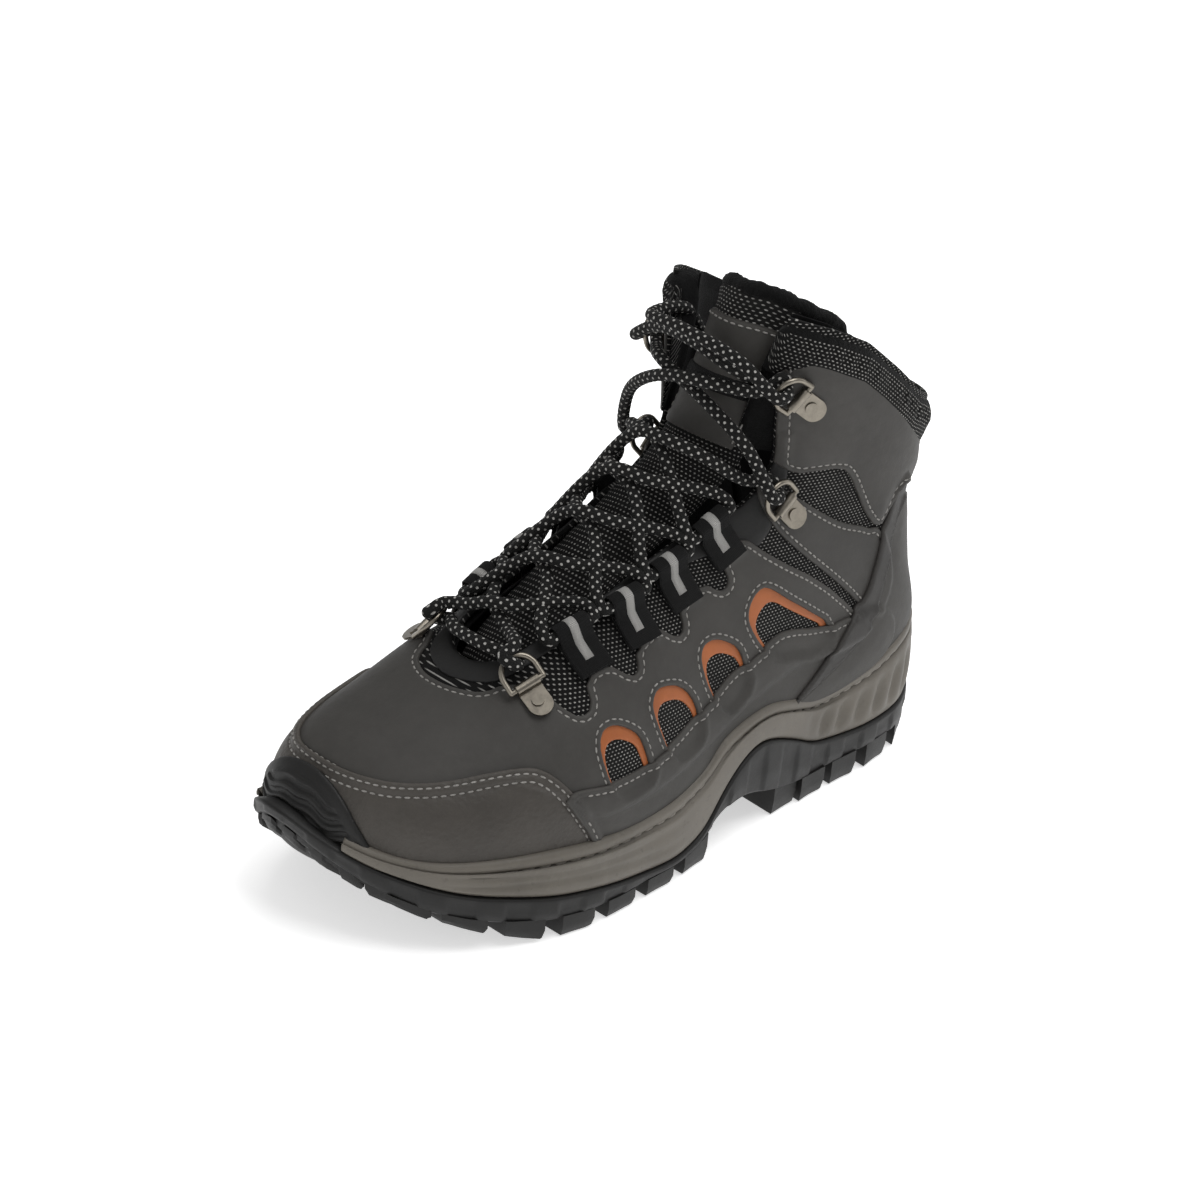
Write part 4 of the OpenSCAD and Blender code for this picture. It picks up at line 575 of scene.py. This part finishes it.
# outsole edge and plate
rib = np.clip(np.sin(tq*2*np.pi/20.5)*3, -.6, .6)*sm((Z1-Z0-4)/4)
O_ = [ringp(-14*one, Z0+.6), ringp(-3.2*one, Z0), ringp(-1.2*one, Z0+.5), ringp(-.2+.5*rib, Z0+1.6), ringp(.25+rib*.8, Z0+(Z1-Z0)*.45), ringp(.3+rib*.6, Z0+(Z1-Z0)*.72), ringp(.55*one, Z1-1.3), ringp(.35*one, Z1-.5), ringp(-.5*one, Z1-.1), ringp(-2.5*one, Z1), ringp(-14*one, Z1)]
O_ = np.array(O_).transpose(1, 0, 2); outs = sweep('outsole_edge', O_, RUB, loop=True, uv=np.stack([np.repeat(tq[:, None], 11, 1), np.repeat(np.arange(11)[None]*1., NP, 0)], -1)); put(outs, 'boot', ['outsole'])
xs = np.linspace(-150, 139, 150); cols = [np.interp(xs, SO[:, 0], SO[:, k]) for k in range(1, 6)]; pl = []
for x, a, b, z0, z1, z2 in zip(xs, *cols): ys = np.linspace(a-3.5, b+3.5, 9); pl.append(np.concatenate([np.stack([0*ys+x, ys, 0*ys+z0+.25+.25*np.cos(ys*.4)], 1), np.stack([0*ys+x, ys[::-1], 0*ys+z1-.2], 1)]))
put(sweep('outsole_plate', pl, RUB), 'boot')
# studs
LZ = [[-160,6],[-151,4],[-144,0],[75,0],[85,2.5],[96,6],[106,10],[118,15],[129,21],[135,26],[140,33],[144,38]]
lz = lambda x: np.interp(x, [p[0] for p in LZ], [p[1] for p in LZ]); edge_y = lambda x, m: np.interp(x, SO[:, 0], SO[:, 1 if m > 0 else 2]); z0f = lambda x: np.interp(x, SO[:, 0], SO[:, 3])
def stud(poly, taper=1.6, name=None):
    """closed block with a bevelled foot over a plan outline"""
    p = np.asarray(poly, float); c = p.mean(0); o = []
    def lay(scale, zf): q = c+(p-c)*(1-scale/np.maximum(np.linalg.norm(p-c, axis=1, keepdims=True), 1)); return np.column_stack([q, [zf(x) for x in q[:, 0]]])
    return [lay(0, lambda x: z0f(x)+1.5), lay(0, lambda x: z0f(x)*.55+lz(x)*.45+.3), lay(taper*.6, lambda x: lz(x)+.9), lay(taper, lambda x: lz(x)+.15), lay(taper+3, lambda x: lz(x)+.15)]
BL = []
def stepped(x0, x1, m, inner, out=.2, n=7, skew=0.):
    xx = np.linspace(x0, x1, n); oy = [edge_y(x, m)+m*out for x in xx]; iy = inner; return [(x, y) for x, y in zip(xx, oy)]+[(x1-2+skew, m*(abs(iy)+1)), (x1-3+skew, iy), (x0+3+skew, iy), (x0+2+skew, m*(abs(iy)+1))]
for x in (-141, -119, -98, -79):
    for m in (1, -1): BL.append(stepped(x, x+14.5, m, m*15))
for m in (1, -1): BL.append(stepped(-63, -49, m, m*4, out=-1.5))
for x in (-110, -84): BL.append([(x, -8), (x+3, -10), (x+11, -10), (x+14, -8), (x+14, 6), (x+11, 8), (x+3, 8), (x, 6)])
for i, x in enumerate((-6, 15, 36, 57, 78, 98, 115)):
    for m in (1, -1): BL.append(stepped(x, x+14, m, m*22-2, skew=(3 if m > 0 else -2)))
for x in (4, 28, 52, 76, 100): BL.append([(x, -10), (x+4, -13), (x+10, -13), (x+14, -9), (x+14, 9), (x+10, 13), (x+4, 13), (x, 10)])
V3, FQ, FN, base_i = [], [], [], 0; objs = []
for bi, b in enumerate(BL):
    Ls = stud(b); k = len(b); V3 += [np.concatenate(Ls+[Ls[0].mean(0, keepdims=True), Ls[-1].mean(0, keepdims=True)])]; nl = len(Ls)
    for a in range(nl-1):
        for i in range(k): FQ.append([base_i+a*k+i, base_i+(a+1)*k+i, base_i+(a+1)*k+(i+1) % k, base_i+a*k+(i+1) % k])
    for i in range(k): FN += [[base_i+nl*k, base_i+i, base_i+(i+1) % k], [base_i+nl*k+1, base_i+(nl-1)*k+(i+1) % k, base_i+(nl-1)*k+i]]
    base_i += nl*k+2
st = mesh('outsole_studs', np.concatenate(V3), [np.array(FQ), np.array(FN)], None, RUB); bpy.context.view_layer.objects.active = st
import bmesh
bm = bmesh.new(); bm.from_mesh(st.data); bmesh.ops.recalc_face_normals(bm, faces=bm.faces[:]); bm.to_mesh(st.data); bm.free()
put(sharp(st, 35), 'boot', ['outsole_lugs'])
# toe studs in front
xo = lambda y: np.interp(y, [-39.5,-34.5,-29,-20,-14,-8,5,18,28], [125,132,138,141.3,142,141.5,138,132,125])-1.2
V3, FQ, FN, base_i = [], [], [], 0
for ya, yb in ((-35, -27.5), (-24, -16), (-12.5, -4.5), (-1, 7), (10.5, 18)):
    b = [(127.5, ya), (xo(ya)-1.5, ya), (xo(ya+1.5), ya+1.2), (xo((ya+yb)/2), (ya+yb)/2), (xo(yb-1.5), yb-1.2), (xo(yb)-1.5, yb), (127.5, yb)]; Ls = stud(b, 1.1); k = len(b); V3.append(np.concatenate(Ls+[Ls[0].mean(0, keepdims=True), Ls[-1].mean(0, keepdims=True)])); nl = len(Ls)
    for a in range(nl-1):
        for q in range(k): FQ.append([base_i+a*k+q, base_i+(a+1)*k+q, base_i+(a+1)*k+(q+1) % k, base_i+a*k+(q+1) % k])
    for q in range(k): FN += [[base_i+nl*k, base_i+q, base_i+(q+1) % k], [base_i+nl*k+1, base_i+(nl-1)*k+(q+1) % k, base_i+(nl-1)*k+q]]
    base_i += nl*k+2
ts = mesh('toe_studs', np.concatenate(V3), [np.array(FQ), np.array(FN)], None, RUB); bm = bmesh.new(); bm.from_mesh(ts.data); bmesh.ops.recalc_face_normals(bm, faces=bm.faces[:]); bm.to_mesh(ts.data); bm.free(); put(sharp(ts, 35), 'boot')
# toe bumper with ridges
BP = chaikin([(-37,20),(-36.5,36),(-34,42),(-29,48.5),(-22,53.5),(-11,55.5),(0,53.5),(8,49.5),(13,44.5),(16.5,40.5),(19,36.5),(22,31),(23,20)], 2); mb = (SS < 6) & (P[:, 0] > 96); fb = np.full(len(P), -30.)
db = seg_dist(P[mb][:, 1:], BP)*1.12; fb[mb] = np.where(inside(BP, P[mb][:, 1], P[mb][:, 2]), db, -db); fb = np.where(P[:, 0] < 108, np.minimum(fb, (P[:, 0]-108)), fb); fb = np.minimum(fb, P[:, 2]-24); Hs = H.copy()
rdg = .55*np.clip(np.sin((P[:, 2]+1.3*np.sin(P[:, 1]*.2+.5)+.5*np.sin(P[:, 1]*.47))*2*np.pi/3.5)*1.6, -.8, .8); H = H*0+1.9+rdg*sm((fb-3.2)/1.2)*sm((P[:, 2]-31)/3)
fb2 = np.minimum(fb, (SS-.3)*18); panel('toe_bumper_rubber', fb2, 1.9, RUB, ['toe_bumper'], r=1.8, under=1.8, base=.1); H = Hs

# ---------------------------------------------------------------- webbing loops
def strap(i, m):
    o, x, y, n = FR[i, m]; TH = 5.4; r0, r1 = 2.75, 3.75; path = []
    for lx, h in ((17, 1.25), (12, 1.35), (8, 1.5), (5, 1.7)): path.append((lx, h))
    for k in np.linspace(-80, -280, 13): path.append((r1*-.0+3.2*math.cos(rad(k)), TH+3.2*math.sin(rad(k))))
    for lx, h in ((5, 3.6), (8, 2.9), (12, 2.5), (17, 2.35)): path.append((lx, h))
    p = np.array(path); t = unit(np.gradient(p, axis=0)); nn = np.stack([t[:, 1], -t[:, 0]], 1); hw = .48; w = 6.6; out = []; uv = []; d = np.concatenate([[0], np.cumsum(np.linalg.norm(np.diff(p, axis=0), axis=1))])
    for q, nv, dd in zip(p, nn, d):
        sec = [(-w, -hw), (-w+.35, -hw), (w-.35, -hw), (w, -hw), (w, hw), (w-.35, hw), (-w+.35, hw), (-w, hw)]
        sec = [(-w, -hw*.5), (-w+.5, -hw), (w-.5, -hw), (w, -hw*.5), (w, hw*.5), (w-.5, hw), (-w+.5, hw), (-w, hw*.5)]
        out.append([o+x*(q[0]+nv[0]*b)+n*(q[1]+nv[1]*b)+y*a for a, b in sec]); uv.append([(a, dd) for a, b in sec])
    sweepo = sweep('webbing_loop_%s_%d' % ('outer' if m > 0 else 'inner', i), out, WEB, uv=np.array(uv)); out = []; uv = []
    for q, nv, dd in list(zip(p, nn, d))[8:-1]:
        sec = [(-1.7, .0), (1.7, .0), (1.7, -.62), (-1.7, -.62)]; out.append([o+x*(q[0]+nv[0]*b)+n*(q[1]+nv[1]*b)+y*(a) for a, b in sec]); uv.append([(a, dd) for a, b in sec])
    s2 = sweep('webbing_stripe_%s_%d' % ('outer' if m > 0 else 'inner', i), out, STR, uv=np.array(uv)); return sweepo, s2
for m in (1, -1):
    for i in range(1, 5):
        a, b = strap(i, m); put(a, 'boot', ['webbing_lateral' if m > 0 else 'webbing_medial'] if i == 1 else ()); put(b, 'boot')

# ---------------------------------------------------------------- lace
RT, RL, TH, BAR = 16, 11, 5.4, 4.
def tun(i, m):
    o, x, y, n = FR[i, m]; o = SP(EY[i][0], eye(i, m), TH); dd = y if y[0] >= 0 else -y; return [o-x*5.4-dd*9, o-dd*9.3, o-dd*4, o, o+dd*4, o+dd*9.3, o-x*5.4+dd*9]
def wrap(i, m):
    o, x, y, n = FR[i, m]; o = SP(EY[i][0], eye(i, m), BAR); dd = y if y[0] >= 0 else -y; c = o-x*RL*math.cos(rad(RT))+n*RL*math.sin(rad(RT))
    return [c+x*3.5*math.cos(rad(k))+n*3.5*math.sin(rad(k))+dd*(k/90*2.9) for k in (-90, -45, 0, 45, 90)]
def pas(i, k):
    q = ([(.2, 10.6)] if i in (0, 5) else [])+([(.36, 4.9), (.64, 4.9)] if k > 0 else [(.36, 8.6), (.5, 9.6), (.64, 8.6)])+([(.83, 3.5)] if i > 3 else [])
    return [SP(EY[i][0]+(EY[i+1][0]-EY[i][0])*f, eye(i, k)*(1-f)+eye(i+1, -k)*f, h) for f, h in q]
thru = lambda i, m: wrap(i, m) if i in (0, 5, 6) else tun(i, m)
def strand(m):
    o = []
    for i in range(6):
        k = m if i % 2 == 0 else -m; o += thru(i, k)+pas(i, k)
    return o+thru(6, m)
T0 = [SP(14.3, 22, 11.5), SP(14.4, 0, 13.), SP(14.5, -16, 12.)]+[np.array(p, float) for p in ([-47,-21,182], [-58,-23,170], [-70,-22,150], [-77,-21,128], [-82,-20,106])]
T1 = [SP(14.1, -24, 6.), SP(14.0, 0, 6.2), SP(13.8, 18, 6.)]+[np.array(p, float) for p in ([-46,24.6,166], [-58,25.2,155], [-70,23,138], [-79,21,116], [-86,19,96])]
S_1, S1 = strand(-1), strand(1); bar = [SP(6.0, -8, 6.2), SP(6.0, 8, 6.2)]
rt = np.array(T1[::-1]+S_1[::-1]+bar+S1+T0)
def smooth_route(rt):
    q = np.arange(0, len(rt)-1, .08); d = np.linalg.norm(np.diff(rt, axis=0), axis=1); kn = np.concatenate([[0], np.cumsum(np.sqrt(np.maximum(d, .3)))]); out = []
    M = np.zeros_like(rt); M[1:-1] = ((rt[1:-1]-rt[:-2])/np.diff(kn)[:-1, None]*np.diff(kn)[1:, None]+(rt[2:]-rt[1:-1])/np.diff(kn)[1:, None]*np.diff(kn)[:-1, None])/(kn[2:]-kn[:-2])[:, None]; M[0] = (rt[1]-rt[0])/(kn[1]-kn[0]); M[-1] = (rt[-1]-rt[-2])/(kn[-1]-kn[-2])
    for i in range(len(rt)-1):
        hh = kn[i+1]-kn[i]
        for t in np.linspace(0, 1, 12, endpoint=False): out.append((2*t**3-3*t*t+1)*rt[i]+(t**3-2*t*t+t)*hh*M[i]+(-2*t**3+3*t*t)*rt[i+1]+(t**3-t*t)*hh*M[i+1])
    out.append(rt[-1]); return np.array(out)
path = resample(smooth_route(rt), .8); plen = float(np.linalg.norm(np.diff(path, axis=0), axis=1).sum())
# cut the lace into runs around each ring
cuts = []
for i, nmn in ((0, 'lower'), (5, 'ankle'), (6, 'cuff')):
    for m, sdn in ((1, 'lateral'), (-1, 'medial')):
        o, x, y, n = FR[i, m]; o = SP(EY[i][0], eye(i, m), BAR); c = o-x*RL*math.cos(rad(RT))+n*RL*math.sin(rad(RT)); k = int(np.argmin(np.linalg.norm(path-c-x*3.5, axis=1)))
        cuts.append((k, '%s_ring_%s' % (nmn, sdn), c, x))
cuts.sort(key=lambda q: q[0]); SPAN = 17; at = 0; piece = 0; segs = []
for k, body, c, x in cuts:
    a, b = k-SPAN, k+SPAN; segs.append((at, a, None)); segs.append((a, b, (body, c, x))); at = b
segs.append((at, len(path)-1, None)); dist = np.concatenate([[0], np.cumsum(np.linalg.norm(np.diff(path, axis=0), axis=1))]); TN = unit(np.gradient(path, axis=0)); fn = [unit(np.cross(TN[0], [.1, .2, 1.]))]
for i in range(1, len(path)): v = fn[-1]; v = unit(v-(v@TN[i])*TN[i]); fn.append(v)
fn = np.array(fn); fbn = np.cross(TN, fn)
for si, (a, b, ring) in enumerate(segs):
    sel = np.arange(a, b+1); kq = 16; an = 2*np.pi*np.arange(kq)/kq; rr = 2.25*(1+.03*np.sin(dist[sel]*2.1))[:, None, None]
    rg = path[sel][:, None]+rr*(np.cos(an)[None, :, None]*fn[sel][:, None]+np.sin(an)[None, :, None]*fbn[sel][:, None]); uv = np.stack([np.repeat(np.arange(kq)[None]/kq, len(sel), 0), np.repeat(dist[sel][:, None], kq, 1)], -1)
    o = sweep('lace_run_%02d' % si, rg, LACE, uv=uv); uvl = o.data.uv_layers[0].data; A = np.zeros(len(uvl)*2, np.float32); uvl.foreach_get('uv', A); A = A.reshape(-1, 2); nq = (len(sel)-1)*kq; q = A[:nq*4].reshape(-1, 4, 2)
    w = (q[:, :, 0].max(1)-q[:, :, 0].min(1)) > .5; q[w, :, 0] = np.where(q[w, :, 0] < .25, q[w, :, 0]+1, q[w, :, 0]); A[:nq*4] = q.reshape(-1, 2); uvl.foreach_set('uv', A.ravel())
    if si == 0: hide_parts('lace')
    if ring is None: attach(o, 'boot')
    else: body, c, x = ring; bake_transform(o)

# ---------------------------------------------------------------- footbed, hidden parts, metal
xs = np.linspace(-136, 118, 90); CV = [[-152,30],[-118,28],[-64,26],[-24,22],[10,19],[42,18],[68,17],[87,18],[105,19],[118,21],[127,24],[140,30]]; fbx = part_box('footbed'); rg = []
zc = lambda x: np.interp(x, [c[0] for c in CV], [c[1] for c in CV])
for x in xs:
    s_ = np.linspace(.5, 13, 600); 
    t = (x+136)/254; wl = np.interp(x, [-136,-128,-110,-80,-40,0,40,70,95,110,118], [6,18,27,29,28,34,41,41,34,24,8]); wm = np.interp(x, [-136,-128,-110,-80,-40,0,40,70,95,110,118], [6,17,25,26,24,27,33,35,33,28,14]); cy = np.interp(x, [-136,-60,40,80,118], [2,3,1,-4,-11])
    ys = np.linspace(-1, 1, 15); yy = cy+np.where(ys > 0, ys*wl, ys*wm); up = 1.6*np.abs(ys)**3*sm((20-x)/60); zb = zc(x)+4.6; rg.append(np.concatenate([np.stack([0*yy+x, yy, zb+4.9+up-1.2*np.maximum(0, np.abs(ys)-.8)], 1), np.stack([0*yy+x, yy[::-1], 0*yy+zb], 1)]))
put(sweep('footbed_pad', rg, FOOT), 'footbed', ['footbed'])
for nme, mt in (('shank', STEEL), ('insole_board', BOARD), ('toe_puff', STIFF), ('heel_counter', STIFF), ('aglets', AGL), ('clip_rivets', MET)):
    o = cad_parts[nme]; o.data.materials.clear(); o.data.materials.append(mt)
for nme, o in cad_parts.items():
    if nme.startswith(('clip_lat', 'clip_med', 'dring')): o.data.materials.clear(); o.data.materials.append(MET)
# stitches
for g, lst in STITCH.items():
    V3, FQ, FT, b = [], [], [], 0
    for (c, dr, n3, L), r in lst:
        v, (q, t) = caps(c, dr, n3, L, r); V3.append(v); FQ.append(q+b); FT.append(t+b); b += len(v)
    o = mesh('stitching_'+g, np.concatenate(V3), [np.concatenate(FQ), np.concatenate(FT)], None, SEW); put(o, 'tongue' if g.startswith('tongue') else 'boot')

# ---------------------------------------------------------------- floor and light
fm_ = NT('floor_white'); fm_.done((.93, .93, .93), .9, spec=.0); fm_.b.inputs['Emission Color'].default_value = (1, 1, 1, 1); fm_.b.inputs['Emission Strength'].default_value = .55; me = bpy.data.meshes.new('floor'); me.from_pydata([(-6, -6, 0), (6, -6, 0), (6, 6, 0), (-6, 6, 0)], [], [(0, 1, 2, 3)]); fl_o = bpy.data.objects.new('floor', me); me.materials.append(fm_.m); bpy.context.scene.collection.objects.link(fl_o); fl_o.location.z = -.0002; fl_o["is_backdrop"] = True
wd = bpy.data.worlds.new('studio'); bpy.context.scene.world = wd; wd.use_nodes = True; wd.node_tree.nodes['Background'].inputs[0].default_value = (1, 1, 1, 1); wd.node_tree.nodes['Background'].inputs[1].default_value = .36
def area(name, loc, size, power, target=(0, 0, .08)):
    l = bpy.data.lights.new(name, 'AREA'); l.shape = 'RECTANGLE'; l.size = size[0]; l.size_y = size[1]; l.energy = power; o = bpy.data.objects.new(name, l); bpy.context.scene.collection.objects.link(o); o.location = loc
    o.rotation_euler = (Vector(target)-Vector(loc)).to_track_quat('-Z', 'Y').to_euler()
area('key', (-.1, .7, 1.8), (.9, .9), 12); area('top', (-.4, -.3, 1.8), (1.3, 1.3), 8.5); area('fill', (1.7, .2, .8), (1.2, 1.2), 3.0); area('rim', (-1.3, .6, .8), (.8, .8), 3.0)
bpy.context.scene.view_settings.view_transform = 'Standard'
print('lace length mm', round(plen, 1))
new_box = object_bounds()
